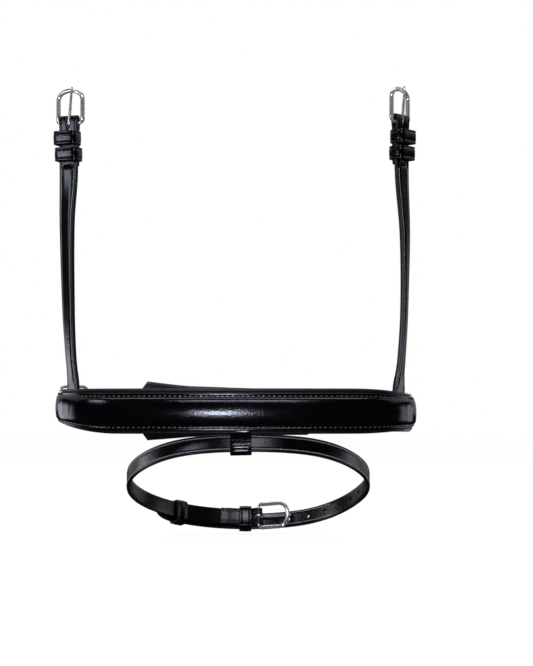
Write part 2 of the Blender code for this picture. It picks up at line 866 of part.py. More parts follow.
def slot_cutter(name, frame, along, depth):
    """A box that cuts the prong's slot through a fold."""

    def place(u, v, d):
        point, forward, across, out = frame(along)
        ahead = u * (SLOT_REACH + CHEEK_FOLD_SLACK + CUT_OVERRUN) - SLOT_REACH
        through = (2 * d - 1) * CUT_OVERRUN
        return point + forward * ahead + across * (v - 0.5) * SLOT_WIDTH + out * (depth + through)

    return cutter(name, 1, 1, place)


def curve_room(radius):
    """How much deeper a straight keeper is than the stack of layers on a curve of this radius."""
    return KEEPER_LENGTH**2 / (2 * radius)


def add_keeper(name, frame, along, stack, drop, parent, width):
    """A keeper round a stack of layers, given as (lowest, highest) depth."""
    low, high = stack
    depth = high - low + 2 * KEEPER_DEPTH_PLAY
    curve = keeper_curve(name, width, depth, KEEPER_WALL, KEEPER_LENGTH)
    matrix = keeper_matrix(frame, along, (low + high) / 2, drop)
    return add_placed(name, curve, "black_leather", matrix, parent)


def build_cheek(side, word):
    """One cheek strap with its buckle, prong, fixed keeper and runner."""
    frame = cheek_frame_for(side)
    length = cheek_length(side)
    pivot = add_pivot(word + "_cheek_pivot", cheek_hinge(side))
    stations = cheek_stations(length)
    crown = cheek_crown_for(length)
    body = strap(word + "_cheek_strap", stations, frame, STRAP_WIDTH, "black_leather", pivot, 6, crown)
    skive = (STRAP_THICKNESS - FOLD_THICKNESS) / 2
    depth = skive + bar_depth(FOLD_THICKNESS)
    cut(body, slot_cutter(word + "_prong_slot", frame, length, depth))

    matrix = frame_matrix(frame, length, depth)
    turn = add_pivot(word + "_buckle_pivot", matrix.translation, pivot)
    name = word + "_buckle_frame"
    buckle = add_placed(name, frame_curve(name), "polished_steel", matrix, turn)
    name = word + "_buckle_prong"
    lean = LEFT_PRONG_LEAN if side == LEFT else RIGHT_PRONG_LEAN
    add_placed(name, prong_curve(name, lean), "polished_steel", matrix, buckle)

    low = -STRAP_THICKNESS / 2 - LAYER_GAP - FOLD_THICKNESS
    stack = (low, STRAP_THICKNESS / 2 + STRAP_ROOM)
    width = STRAP_WIDTH + 2 * KEEPER_PLAY
    place = length - KEEPER_FROM_BAR
    add_keeper(word + "_fixed_keeper", frame, place, stack, side * KEEPER_SHIFT, pivot, width)
    place -= KEEPER_LENGTH + RUNNER_GAP
    add_keeper(word + "_runner", frame, place, stack, 0.0, pivot, width)


# Flash strap


def flash_axes():
    """The loop's own directions: sideways, from front to back, and up along the strap's width."""
    sideways = Vector((1, 0, 0))
    back = Vector((0, math.cos(FLASH_TILT), -math.sin(FLASH_TILT)))
    return sideways, back, sideways.cross(back)


def flash_front():
    """The middle of the strap's front, under the lower edge of the nosepiece."""
    half = STRAP_WIDTH / 2 * math.cos(FLASH_TILT)
    lean = FLASH_THICKNESS / 2 * math.sin(FLASH_TILT)
    y = nose_frame(0.0)[0].y + LAYER_GAP + TAB_THICKNESS / 2
    return Vector((FLASH_OFFSET, y, -LINING_WIDTH / 2 - FIT_GAP - half - lean))


def flash_centre():
    return flash_front() + flash_axes()[1] * FLASH_RADIUS


def flash_frame(distance):
    """Frame of the loop by the distance from its back, which grows towards the right side."""
    sideways, back, up = flash_axes()
    turn = distance / FLASH_RADIUS
    out = sideways * math.sin(turn) + back * math.cos(turn)
    along = sideways * math.cos(turn) - back * math.sin(turn)
    return flash_centre() + out * FLASH_RADIUS, along, up, out


def flash_hinge():
    """The line on which the leather loop swings, at the nosepiece's lower edge."""
    y = nose_frame(0.0)[0].y + LAYER_GAP + TAB_THICKNESS / 2
    return Vector((FLASH_LOOP_OFFSET, y, -LINING_WIDTH / 2 - FIT_GAP))


def tuck_share(turn):
    """How far the strap has left the loop to pass outside its buckle, by its turn from the back."""
    bow = FLASH_BAR_TURN + FRAME_LENGTH / FLASH_RADIUS
    return smooth((TUCK_TURN - turn) / (TUCK_TURN - bow))


def tuck_depth(turn):
    return FLASH_TUCK_CLEARANCE * tuck_share(turn)


def flash_stations():
    """From the end of the return, round the buckle's bar, once round the loop, to the tip."""
    bar = FLASH_BAR_TURN * FLASH_RADIUS
    second = -(FLASH_THICKNESS + FOLD_THICKNESS) / 2 - LAYER_GAP
    skive = (FLASH_THICKNESS - FOLD_THICKNESS) / 2
    depth = skive + bar_depth(FOLD_THICKNESS)
    reach = BAR_RADIUS + FIT_GAP
    fold = fold_stations(bar, depth, reach, FOLD_THICKNESS, second, bar - RETURN_LENGTH)
    found = list(reversed(fold))
    found.append((bar - SLOT_REACH, 0, FLASH_THICKNESS))
    start = FLASH_BAR_TURN - SLOT_REACH / FLASH_RADIUS
    round_trip = start + 2 * math.pi + FLASH_TIP_TURN
    for i in range(1, FLASH_STEPS + 1):
        turn = start - round_trip * i / FLASH_STEPS
        found.append((turn * FLASH_RADIUS, tuck_depth(turn + 2 * math.pi), FLASH_THICKNESS))
    return found


def flash_frame_tucked(distance):
    """The loop's frame, dropped a little where the tip lies behind the buckle."""
    point, along, up, out = flash_frame(distance)
    left = distance / FLASH_RADIUS + 2 * math.pi
    return point - up * FLASH_TUCK_DROP * tuck_share(left), along, up, out


def hole_cutter(name, frame, along, depth, radius, height):
    """A round punch through a strap."""
    bpy.ops.mesh.primitive_cylinder_add(vertices=10, radius=radius, depth=height)
    tool = bpy.context.active_object
    for collection in list(tool.users_collection):
        collection.objects.unlink(tool)
    tool.name = name
    tool.matrix_world = keeper_punch(frame, along, depth)
    return as_cutter(tool)


def keeper_punch(frame, along, depth):
    """A punch's place: its z through the strap."""
    point, forward, across, out = frame(along)
    return basis(point + out * depth, forward, out.cross(forward), out)


def build_flash():
    sideways, back, up = flash_axes()
    loop = add_pivot("flash_loop_pivot", flash_hinge())
    build_flash_loop(loop)
    centre = add_pivot("flash_slide_pivot", flash_centre(), loop)
    stations = flash_stations()
    body = strap("flash_strap", stations, flash_frame_tucked, STRAP_WIDTH, "black_leather", centre, 2)
    skive = (FLASH_THICKNESS - FOLD_THICKNESS) / 2
    depth = skive + bar_depth(FOLD_THICKNESS)
    bar = FLASH_BAR_TURN * FLASH_RADIUS
    cut(body, slot_cutter("flash_prong_slot", flash_frame, bar, depth))
    for i in range(FLASH_HOLES):
        turn = FLASH_FIRST_HOLE_TURN + FLASH_HOLE_PITCH * i / FLASH_RADIUS
        along = (turn - 2 * math.pi) * FLASH_RADIUS
        height = 2 * CUT_OVERRUN
        tool = hole_cutter(
            f"flash_hole_{i}", flash_frame_tucked, along, tuck_depth(turn), HOLE_RADIUS, height
        )
        cut(body, tool)

    matrix = frame_matrix(flash_frame, bar, depth) @ Matrix.Rotation(-FLASH_BUCKLE_TILT, 4, "X")
    turn = add_pivot("flash_buckle_pivot", matrix.translation, centre)
    name = "flash_buckle_frame"
    buckle = add_placed(name, frame_curve(name), "polished_steel", matrix, turn)
    name = "flash_buckle_prong"
    add_placed(name, prong_curve(name), "polished_steel", matrix, buckle)

    inner = -FLASH_THICKNESS / 2 - curve_room(FLASH_RADIUS)
    outer = FLASH_TUCK_CLEARANCE + FLASH_THICKNESS / 2
    width = STRAP_WIDTH + FLASH_TUCK_DROP + 2 * FIT_GAP
    drop = -FLASH_TUCK_DROP / 2
    stack = (inner - LAYER_GAP - FOLD_THICKNESS, outer)
    place = bar - KEEPER_FROM_BAR
    add_keeper("flash_fixed_keeper", flash_frame, place, stack, drop, centre, width)
    place = -FLASH_RUNNER_TURN * FLASH_RADIUS
    add_keeper("flash_runner", flash_frame, place, (inner, outer), drop, centre, width)


def build_flash_loop(parent):
    """The leather loop that carries the flash strap: two legs and a round bottom."""
    front = math.pi + math.asin((FLASH_OFFSET - FLASH_LOOP_OFFSET) / FLASH_RADIUS)
    point, _, up, out = flash_frame(front * FLASH_RADIUS)
    middle = FLASH_THICKNESS / 2 + FLASH_LOOP_ROOM + FLASH_LOOP_WALL / 2
    bottom = -STRAP_WIDTH / 2 + FLASH_THICKNESS / 4
    top = STRAP_WIDTH / 2 - FLASH_LOOP_WALL / 2
    stations = [(top, middle), (0, middle)]
    for i in range(LOOP_STEPS + 1):
        angle = math.pi * i / LOOP_STEPS
        stations.append((bottom - middle * math.sin(angle), middle * math.cos(angle)))
    stations += [(0, -middle), (top - FLASH_THICKNESS, -middle)]
    stations = [(along, depth, FLASH_LOOP_WALL) for along, depth in stations]

    def frame(along):
        return point + up * along, up, up.cross(out), out

    strap("flash_loop", stations, frame, FLASH_LOOP_WIDTH, "black_leather", parent)


# Jaw strap


def jaw_radius():
    """The radius of the jaw strap's arc, which is JAW_DEPTH deep between the rings' far bars."""
    half = (far_bar_point(RIGHT) - far_bar_point(LEFT)).to_2d().length / 2
    return (half**2 + JAW_DEPTH**2) / (2 * JAW_DEPTH)


def jaw_centre():
    """The centre of the jaw strap's arc, from the places of the rings' far bars."""
    left, right = far_bar_point(LEFT), far_bar_point(RIGHT)
    inset = jaw_bar_reach() + JAW_STRAP_THICKNESS / 2
    near, far = jaw_radius() - inset, jaw_radius() + inset
    span = (right - left).to_2d()
    length = span.length
    share = (near**2 - far**2 + length**2) / (2 * length)
    fall = math.sqrt(near**2 - share**2)
    unit = span / length
    side = Vector((unit.y, -unit.x))
    return left.to_2d() + unit * share + side * fall


def jaw_bar_reach():
    return RING_WIRE_RADIUS + FIT_GAP + JAW_FOLD_SLACK


def jaw_ends():
    """The distances from the middle of the jaw strap to its two ring bars."""
    centre = jaw_centre()
    found = []
    for side in (LEFT, RIGHT):
        offset = far_bar_point(side).to_2d() - centre
        found.append(jaw_radius() * math.atan2(offset.x, offset.y))
    return found


def jaw_level(x):
    """The height of the jaw strap's middle line, which is highest at the left ring."""
    left, right = far_bar_point(LEFT).x, far_bar_point(RIGHT).x
    share = clamp((x - left) / (right - left))
    level = JAW_LEFT_RISE + (JAW_RIGHT_RISE - JAW_LEFT_RISE) * share
    mean = (JAW_LEFT_RISE + JAW_RIGHT_RISE) / 2
    return level + (JAW_MIDDLE_RISE - mean) * (1 - (2 * share - 1) ** 4)


def jaw_frame(distance):
    centre = jaw_centre()
    radius = jaw_radius()
    turn = distance / radius
    out = Vector((math.sin(turn), math.cos(turn), 0))
    x = centre.x + radius * out.x
    point = Vector((x, centre.y + radius * out.y, jaw_level(x)))
    along = Vector((math.cos(turn), -math.sin(turn), 0))
    return point, along, Vector((0, 0, 1)), out


def pad_half_width(distance, width):
    share = distance / PAD_HALF_LENGTH
    return width / 2 * read_table(PAD_OUTLINE_SHARES, share)


def pad_place(half_length, width, bottom, top):
    """place() of a layer of the jaw pad, by its depths at (distance, share of the half-width)."""

    def place(u, v, d):
        distance = pad_station(round(u * PAD_STEPS)) * half_length
        height = (2 * v - 1) * pad_half_width(distance, width)
        depth = top(distance, 2 * v - 1) if d > 0.5 else bottom(distance, 2 * v - 1)
        point, _, across, out = jaw_frame(distance)
        return point + out * depth + across * height

    return place


def pad_station(index):
    """Spreads the pad's steps so that one falls on each corner of its outline."""
    places = [place for place, _ in PAD_OUTLINE_SHARES]
    first, last = places[2], places[-3]
    inner = PAD_STEPS - 4
    if index < 2:
        return places[index]
    if index > PAD_STEPS - 2:
        return places[index - PAD_STEPS - 1]
    return first + (last - first) * (index - 2) / inner


def jaw_pad_top():
    return -JAW_STRAP_THICKNESS / 2 - LAYER_GAP


def build_jaw_pad(parent):
    """The shaped leather of the jaw pad, and the soft pad that is sewn under it."""
    top = jaw_pad_top()
    base = top - PAD_FACING_THICKNESS

    def soft_bottom(_distance, share):
        thickness = PAD_EDGE_THICKNESS + (PAD_THICKNESS - PAD_EDGE_THICKNESS) * (1 - share**4)
        return base - LAYER_GAP - thickness

    pocket = cutter("jaw_keeper_pocket", 6, 1, keeper_pocket)
    width = PAD_WIDTH - 2 * PAD_FACING_INSET
    cover = pad_place(PAD_HALF_LENGTH, width, lambda s, v: base, lambda s, v: top)
    cut(slab("jaw_pad_facing", PAD_STEPS, 1, cover, "black_leather", parent), pocket)
    soft = pad_place(PAD_HALF_LENGTH, PAD_WIDTH, soft_bottom, lambda s, v: base - LAYER_GAP)
    cut(slab("jaw_pad", PAD_STEPS, 7, soft, "black_lining", parent), pocket)
    for side, name in ((LEFT, "jaw_pad_loop_left"), (RIGHT, "jaw_pad_loop_right")):
        layers = billet_depths()[0] if side == RIGHT else 0.0
        build_pad_loop(name, side * PAD_LOOP_PLACE, layers + JAW_STRAP_THICKNESS / 2, parent)


def keeper_pocket(u, v, d):
    """The hollow in the pad in which the inner walls of the two keepers move."""
    reach = KEEPER_LENGTH / 2 + PAD_SLIDE + 2 * FIT_GAP
    low, high = JAW_RUNNER_PLACE - JAW_RUNNER_SLIDE - reach, jaw_keeper_place() + reach
    half = JAW_STRAP_WIDTH / 2 + KEEPER_WALL + 3 * FIT_GAP
    floor = -JAW_STRAP_THICKNESS / 2 - KEEPER_WALL - 2 * (curve_room(jaw_radius()) + FIT_GAP)
    point, _, across, out = jaw_frame(low + u * (high - low))
    return point + out * (floor + d * (CUT_OVERRUN - floor)) + across * (2 * v - 1) * half


def build_pad_loop(name, along, strap_top, parent):
    """A leather bridge over the jaw strap, whose two feet are sewn to the pad."""
    foot = jaw_pad_top() + LAYER_GAP + KEEPER_WALL / 2
    top = strap_top + FIT_GAP + KEEPER_WALL / 2
    half = JAW_STRAP_WIDTH / 2 + 2 * FIT_GAP
    rise = half + KEEPER_WALL
    toe = rise + PAD_LOOP_FOOT
    shape = ((-toe, foot), (-rise, foot), (-half, top), (half, top), (rise, foot), (toe, foot))
    stations = [(place, depth, KEEPER_WALL) for place, depth in shape]
    point, forward, across, out = jaw_frame(along)

    def frame(s):
        return point + across * s, across, forward, out

    strap(name, stations, frame, KEEPER_LENGTH, "black_leather", parent)


def chape_stack():
    """Depths of the jaw buckle's chape: its lower leg, the bar in its fold, its upper leg."""
    lower = JAW_STRAP_THICKNESS / 2 + LAYER_GAP + FOLD_THICKNESS / 2
    bar = lower + FOLD_THICKNESS / 2 + FIT_GAP + BAR_RADIUS
    upper = lower + FOLD_THICKNESS + LAYER_GAP
    return lower, bar, upper


def billet_depths():
    """Depths of the billet: beside the strap, under the bow, over the bar and over the chape."""
    _, bar, upper = chape_stack()
    beside = JAW_STRAP_THICKNESS + LAYER_GAP
    over_bar = bar + BAR_RADIUS + 2 * FIT_GAP + FOLD_THICKNESS + JAW_STRAP_THICKNESS / 2
    over_chape = upper + FOLD_THICKNESS / 2 + FIT_GAP + JAW_STRAP_THICKNESS / 2
    return beside, over_bar, over_chape


def jaw_bow_lift():
    """How far the jaw buckle's bow stands out from its bar, so that the billet passes under it."""
    _, bar, _ = chape_stack()
    beside, _, _ = billet_depths()
    needed = beside + JAW_STRAP_THICKNESS / 2 + 2 * FIT_GAP + FRAME_WIRE_RADIUS
    reach = FRAME_LENGTH - FRAME_WIRE_RADIUS - BAR_RADIUS
    return needed - bar - reach**2 / (2 * (jaw_radius() + bar))


def jaw_stations():
    """From the left return, round the left ring, along the pad, round the right ring, to the tip."""
    left, right = jaw_ends()
    reach = jaw_bar_reach()
    depth = reach + JAW_STRAP_THICKNESS / 2
    second = -JAW_STRAP_THICKNESS - LAYER_GAP
    back = left + JAW_RETURN_LENGTH
    found = list(reversed(fold_stations(left, -depth, reach, JAW_STRAP_THICKNESS, second, back)))
    for i in range(1, JAW_STEPS):
        found.append((left + (right - left) * i / JAW_STEPS, 0, JAW_STRAP_THICKNESS))
    beside, over_bar, over_chape = billet_depths()
    place = JAW_BUCKLE_PLACE
    bow = place + FRAME_LENGTH - BAR_RADIUS
    fold = fold_stations(right, depth, reach, JAW_STRAP_THICKNESS, beside, bow, -1)
    found += fold[: -RETURN_STEPS]
    start = fold[-RETURN_STEPS - 1][0]
    for i in range(1, 2 * BILLET_STEPS + 1):
        found.append((start + (bow - start) * i / (2 * BILLET_STEPS), beside, JAW_STRAP_THICKNESS))
    under, over = BILLET_RISE_SHARES
    found.append((place + FRAME_LENGTH * under, beside, JAW_STRAP_THICKNESS))
    found.append((place + FRAME_LENGTH * over, over_bar, JAW_STRAP_THICKNESS))
    found.append((place - BAR_RADIUS, over_bar, JAW_STRAP_THICKNESS))
    close = place - CONVERGE_LENGTH
    for i in range(BILLET_STEPS + 1):
        along = close + (JAW_TIP_PLACE - close) * i / BILLET_STEPS
        found.append((along, over_chape, JAW_STRAP_THICKNESS))
    return found


def build_jaw(parent):
    """The jaw strap, closed round both rings, with its pad, buckle and keepers."""
    build_jaw_pad(parent)
    body = strap("jaw_strap", jaw_stations(), jaw_frame, JAW_STRAP_WIDTH, "black_leather", parent, 2)
    lower, bar, upper = chape_stack()
    place = JAW_BUCKLE_PLACE
    end = place - JAW_CHAPE_LENGTH
    reach = BAR_RADIUS + FIT_GAP
    fold = fold_stations(place, bar, reach, FOLD_THICKNESS, upper, end, -1)
    stations = [(end + (place - end) * i / 5, lower, FOLD_THICKNESS) for i in range(5)]
    chape_width = JAW_STRAP_WIDTH - 2 * KEEPER_WALL
    stations += fold
    chape = strap("jaw_buckle_chape", stations, jaw_frame, chape_width, "black_leather", parent)
    cut(chape, slot_cutter("jaw_prong_slot", jaw_frame, place, bar))

    bow_reach = FRAME_LENGTH - FRAME_WIRE_RADIUS - BAR_RADIUS
    tilt = math.atan2(jaw_bow_lift(), bow_reach)
    matrix = frame_matrix(jaw_frame, place, bar) @ Matrix.Rotation(tilt, 4, "X")
    widen = Matrix.Diagonal((JAW_STRAP_WIDTH / STRAP_WIDTH, 1, 1, 1))
    frame_data = frame_curve("jaw_buckle_frame")
    for point in frame_data.splines[0].points:
        point.co = (*(widen @ Vector(point.co[:3])), 1)
    add_placed("jaw_buckle_frame", frame_data, "polished_steel", matrix, parent)
    add_placed("jaw_buckle_prong", prong_curve("jaw_buckle_prong"), "polished_steel", matrix, parent)
    punch = bpy.data.objects.new("jaw_prong_passage", prong_passage())
    punch.matrix_world = matrix
    cut(body, as_cutter(punch))
    for i in range(JAW_HOLES):
        along = place + FRAME_LENGTH + FRAME_WIRE_RADIUS + JAW_HOLE_PITCH * (i + 0.5)
        beside = billet_depths()[0]
        tool = hole_cutter(
            f"jaw_hole_{i}", jaw_frame, along, beside, HOLE_RADIUS, JAW_STRAP_THICKNESS + LAYER_GAP
        )
        cut(body, tool)
    room = curve_room(jaw_radius())
    low = -JAW_STRAP_THICKNESS / 2 - room
    stack = (low, billet_depths()[2] + JAW_STRAP_THICKNESS / 2 + room)
    width = JAW_STRAP_WIDTH + 2 * FIT_GAP
    add_keeper("jaw_fixed_keeper", jaw_frame, jaw_keeper_place(), stack, 0.0, parent, width)
    add_keeper("jaw_runner", jaw_frame, JAW_RUNNER_PLACE, stack, 0.0, parent, width)


def jaw_keeper_place():
    return JAW_BUCKLE_PLACE - KEEPER_FROM_BAR - STRAP_THICKNESS


def prong_passage():
    """A mesh copy of the prong's shank, grown by a running gap, which opens the billet's hole."""
    points = prong_points(0.0)[PRONG_EYE_STEPS - 1 :]
    curve = wire_curve("prong_passage", points, PRONG_RADIUS + 2 * FIT_GAP, False)
    holder = bpy.data.objects.new("prong_passage", curve)
    CUTTERS.objects.link(holder)
    graph = bpy.context.evaluated_depsgraph_get()
    mesh = bpy.data.meshes.new_from_object(holder.evaluated_get(graph))
    bpy.data.objects.remove(holder)
    welded = bmesh.new()
    welded.from_mesh(mesh)
    bmesh.ops.remove_doubles(welded, verts=welded.verts[:], dist=LAYER_GAP / 10)
    bmesh.ops.recalc_face_normals(welded, faces=welded.faces[:])
    welded.to_mesh(mesh)
    welded.free()
    return mesh


clear_scene()
PIECES = new_collection("noseband")
CUTTERS = new_collection("cutters")
build_nosepiece()
build_tabs()
for ring_side, ring_name in ((LEFT, "left_ring"), (RIGHT, "right_ring")):
    build_ring(ring_side, ring_name, None)
    build_chape(ring_side, ring_name + "_chape")
build_cheek(LEFT, "left")
build_cheek(RIGHT, "right")
build_flash()
build_jaw(None)
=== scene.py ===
"""A leather noseband with a flash strap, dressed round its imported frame.

Each sub-assembly is a class that keeps its sizes in metres and builds its own pieces: the padded
nosepiece with its rings, the two cheek straps, the flash strap and the padded jaw strap.
"""

import logging
import math
import random
from dataclasses import dataclass, replace
from enum import Enum
from functools import cache, partial
from typing import Callable, Optional, Sequence, Union

import bmesh
import bpy
from mathutils import Matrix, Vector

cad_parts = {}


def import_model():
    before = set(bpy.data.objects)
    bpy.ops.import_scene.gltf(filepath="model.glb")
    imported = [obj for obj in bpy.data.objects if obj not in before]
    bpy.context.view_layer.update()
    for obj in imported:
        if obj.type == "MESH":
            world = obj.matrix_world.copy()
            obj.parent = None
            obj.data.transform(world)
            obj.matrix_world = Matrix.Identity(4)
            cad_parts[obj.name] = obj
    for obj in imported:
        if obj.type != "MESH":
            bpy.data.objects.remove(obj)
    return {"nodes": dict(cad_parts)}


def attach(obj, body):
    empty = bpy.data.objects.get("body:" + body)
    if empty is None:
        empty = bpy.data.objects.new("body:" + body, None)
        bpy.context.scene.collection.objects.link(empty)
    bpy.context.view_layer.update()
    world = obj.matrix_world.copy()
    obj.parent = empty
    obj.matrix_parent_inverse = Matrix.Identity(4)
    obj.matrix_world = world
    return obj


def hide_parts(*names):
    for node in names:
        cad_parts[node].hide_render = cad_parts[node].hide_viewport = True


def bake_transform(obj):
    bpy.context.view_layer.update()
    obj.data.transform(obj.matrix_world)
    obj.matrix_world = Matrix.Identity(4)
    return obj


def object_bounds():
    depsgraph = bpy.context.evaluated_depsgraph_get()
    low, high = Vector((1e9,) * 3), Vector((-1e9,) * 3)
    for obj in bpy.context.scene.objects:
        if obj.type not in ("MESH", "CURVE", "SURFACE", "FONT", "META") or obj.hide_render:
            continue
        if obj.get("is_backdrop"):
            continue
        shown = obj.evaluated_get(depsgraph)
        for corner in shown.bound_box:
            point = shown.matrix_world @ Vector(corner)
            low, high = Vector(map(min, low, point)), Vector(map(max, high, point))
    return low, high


LOG = logging.getLogger("noseband")
MM = 0.001
TAU = 2 * math.pi
QUARTER = math.pi / 2
UP = Vector((0, 0, 1))
STITCH_SEED = 11

Form = bmesh.types.BMesh
Material = bpy.types.Material
Piece = bpy.types.Object
Point2 = tuple[float, float]
Mark = tuple[float, float, float]
Seat = tuple[Vector, Vector]


class Side(Enum):
    """The two sides of the noseband, as the photograph shows them."""

    LEFT = -1
    RIGHT = 1

    @property
    def word(self) -> str:
        """The side's word in the names of nodes and bodies."""
        return self.name.lower()


class Slot(Enum):
    """The record's material slots."""

    LEATHER = "black_leather"
    LINING = "black_lining"
    FELT = "felt_filler"
    STEEL = "polished_steel"


Stuff = tuple[Material, Slot]


# Colours and nodes


SPAN = ("From Min", "From Max", "To Min", "To Max")


def linear(hex_colour: str) -> tuple[float, float, float, float]:
    """Turns an sRGB hex colour into linear RGBA.

    Args:
        hex_colour: Six hex digits after a hash sign.

    Returns:
        The linear colour with an alpha of 1.
    """
    values = [int(hex_colour[i : i + 2], 16) / 255 for i in (1, 3, 5)]
    red, green, blue = (v / 12.92 if v <= 0.04045 else ((v + 0.055) / 1.055) ** 2.4 for v in values)
    return red, green, blue, 1.0


def add_node(tree: bpy.types.NodeTree, kind: str, settings: Optional[dict] = None, **links) -> bpy.types.Node:
    """Adds one node with its settings and links.

    Args:
        tree: The node tree.
        kind: The node's type name.
        settings: Values for properties, or for input sockets by their names or numbers.
        links: What feeds an input, by its name with _ for a space, or i and a number. A node stands
            for its own first output.

    Returns:
        The new node.
    """
    node = tree.nodes.new(kind)
    for key, value in (settings or {}).items():
        if isinstance(key, str) and hasattr(node, key):
            setattr(node, key, value)
        else:
            node.inputs[key].default_value = value
    for key, source in links.items():
        place = int(key[1:]) if key[0] == "i" and key[1:].isdigit() else key.replace("_", " ")
        socket = source.outputs[0] if isinstance(source, bpy.types.Node) else source
        tree.links.new(socket, node.inputs[place])
    return node


def new_material(name: str) -> tuple[Material, Callable[..., bpy.types.Node]]:
    """Makes an empty node material.

    Args:
        name: The material's name.

    Returns:
        The material and the function that adds nodes to it.
    """
    material = bpy.data.materials.new(name)
    material.use_nodes = True
    material.node_tree.nodes.clear()
    return material, partial(add_node, material.node_tree)


@dataclass(frozen=True)
class LeatherFinish:
    """Finished cowhide: dyed through, plated smooth and waxed, or left soft for a lining.

    The eye sees a deep black, a soft-edged gloss that the grain breaks up, fine creases where the
    leather bends, and duller painted edges.
    """

    name: str
    colour: str
    worn_colour: str
    edge_colour: str
    grain: float
    grain_depth: float
    crease: float
    crease_depth: float
    roughness: float
    spread: float
    edge_roughness: float
    coat: float
    coat_roughness: float
    patch: float = 28.0 * MM

    def material(self) -> Material:
        """Builds the leather's material.

        Returns:
            The material. Its grain reads Object coordinates, in metres.
        """
        material, add = new_material(self.name)
        where = add("ShaderNodeTexCoord").outputs["Object"]
        edge = add("ShaderNodeAttribute", {"attribute_name": "edge"}).outputs["Fac"]
        cells = add("ShaderNodeTexVoronoi", {"feature": "SMOOTH_F1", "Scale": 1 / self.grain}, Vector=where)
        pores = {"Scale": 1 / (self.grain * 0.6), "Detail": 3.0, "Roughness": 0.6}
        fine = add("ShaderNodeTexNoise", pores, Vector=where)
        folds = {"Scale": 1 / self.crease, "Detail": 5.0, "Roughness": 0.62, "Distortion": 0.6}
        creases = add("ShaderNodeTexNoise", folds, Vector=where)
        cloudy = add("ShaderNodeTexNoise", {"Scale": 1 / self.patch, "Detail": 2.0}, Vector=where)
        grain = add("ShaderNodeMath", {"operation": "MULTIPLY_ADD", 1: 0.5}, i0=fine, i2=cells)
        bump = add("ShaderNodeBump", {"Strength": 1.0, "Distance": self.grain_depth}, Height=grain)
        deep = {"Strength": 1.0, "Distance": self.crease_depth}
        skin = add("ShaderNodeBump", deep, Height=creases, Normal=bump)
        gloss = dict(zip(SPAN, (0.3, 0.7, self.roughness - self.spread, self.roughness + self.spread)))
        rough = add("ShaderNodeMapRange", gloss, Value=cloudy)
        rough = add("ShaderNodeMix", {"data_type": "FLOAT", 3: self.edge_roughness}, i0=edge, i2=rough)
        worn = add("ShaderNodeMapRange", dict(zip(SPAN, (0.45, 0.75, 0.0, 0.6))), Value=creases)
        dyes = {"data_type": "RGBA", 6: linear(self.colour), 7: linear(self.worn_colour)}
        face = add("ShaderNodeMix", dyes, i0=worn).outputs[2]
        paint = {"data_type": "RGBA", 7: linear(self.edge_colour)}
        colour = add("ShaderNodeMix", paint, i0=edge, i6=face).outputs[2]
        wax = {"IOR": 1.5, "Coat Weight": self.coat, "Coat Roughness": self.coat_roughness}
        shader = add(
            "ShaderNodeBsdfPrincipled", wax, Base_Color=colour, Roughness=rough, Normal=skin, Coat_Normal=bump
        )
        add("ShaderNodeOutputMaterial", Surface=shader)
        return material


@dataclass(frozen=True)
class ThreadFinish:
    """Bonded and waxed polyester thread: a hard round cord whose plies catch small lights."""

    name: str
    colour: str
    ply: float
    roughness: float

    def material(self) -> Material:
        """Builds the thread's material.

        Returns:
            The material, with the plies as a fine wave in Object coordinates.
        """
        material, add = new_material(self.name)
        where = add("ShaderNodeTexCoord").outputs["Object"]
        wave = {"bands_direction": "DIAGONAL", "Scale": 1 / (self.ply * 20), "Distortion": 1.5}
        plies = add("ShaderNodeTexWave", wave, Vector=where).outputs["Fac"]
        bump = add("ShaderNodeBump", {"Strength": 0.6, "Distance": 0.05 * MM}, Height=plies)
        hard = {"Base Color": linear(self.colour), "Roughness": self.roughness, "IOR": 2.1}
        shader = add("ShaderNodeBsdfPrincipled", hard, Normal=bump)
        add("ShaderNodeOutputMaterial", Surface=shader)
        return material


@dataclass(frozen=True)
class SteelFinish:
    """Stainless steel wire, bent and polished: sharp reflections with faint rubbing marks."""

    name: str
    colour: str
    dull_colour: str
    roughness: float
    scratch: float
    stain: float = 6.0 * MM

    def material(self) -> Material:
        """Builds the metal's material.

        Returns:
            The material, with rubbing marks in Object coordinates.
        """
        material, add = new_material(self.name)
        where = add("ShaderNodeTexCoord").outputs["Object"]
        stretch = add("ShaderNodeMapping", {"Scale": (1.0, 1.0, 0.25)}, Vector=where)
        rubs = {"Scale": 1 / self.scratch, "Detail": 6.0, "Roughness": 0.7}
        marks = add("ShaderNodeTexNoise", rubs, Vector=stretch)
        tarnish = add("ShaderNodeTexNoise", {"Scale": 1 / self.stain, "Detail": 3.0}, Vector=where)
        gloss = dict(zip(SPAN, (0.35, 0.7, self.roughness * 0.6, self.roughness * 1.6)))
        rough = add("ShaderNodeMapRange", gloss, Value=marks)
        dulled = add("ShaderNodeMapRange", dict(zip(SPAN, (0.45, 0.7, 0.0, 0.7))), Value=tarnish)
        tones = {"data_type": "RGBA", 6: linear(self.colour), 7: linear(self.dull_colour)}
        colour = add("ShaderNodeMix", tones, i0=dulled).outputs[2]
        bump = add("ShaderNodeBump", {"Strength": 0.25, "Distance": 0.02 * MM}, Height=marks)
        metal = {"Metallic": 0.84, "IOR": 2.0}
        shader = add("ShaderNodeBsdfPrincipled", metal, Base_Color=colour, Roughness=rough, Normal=bump)
        add("ShaderNodeOutputMaterial", Surface=shader)
        return material


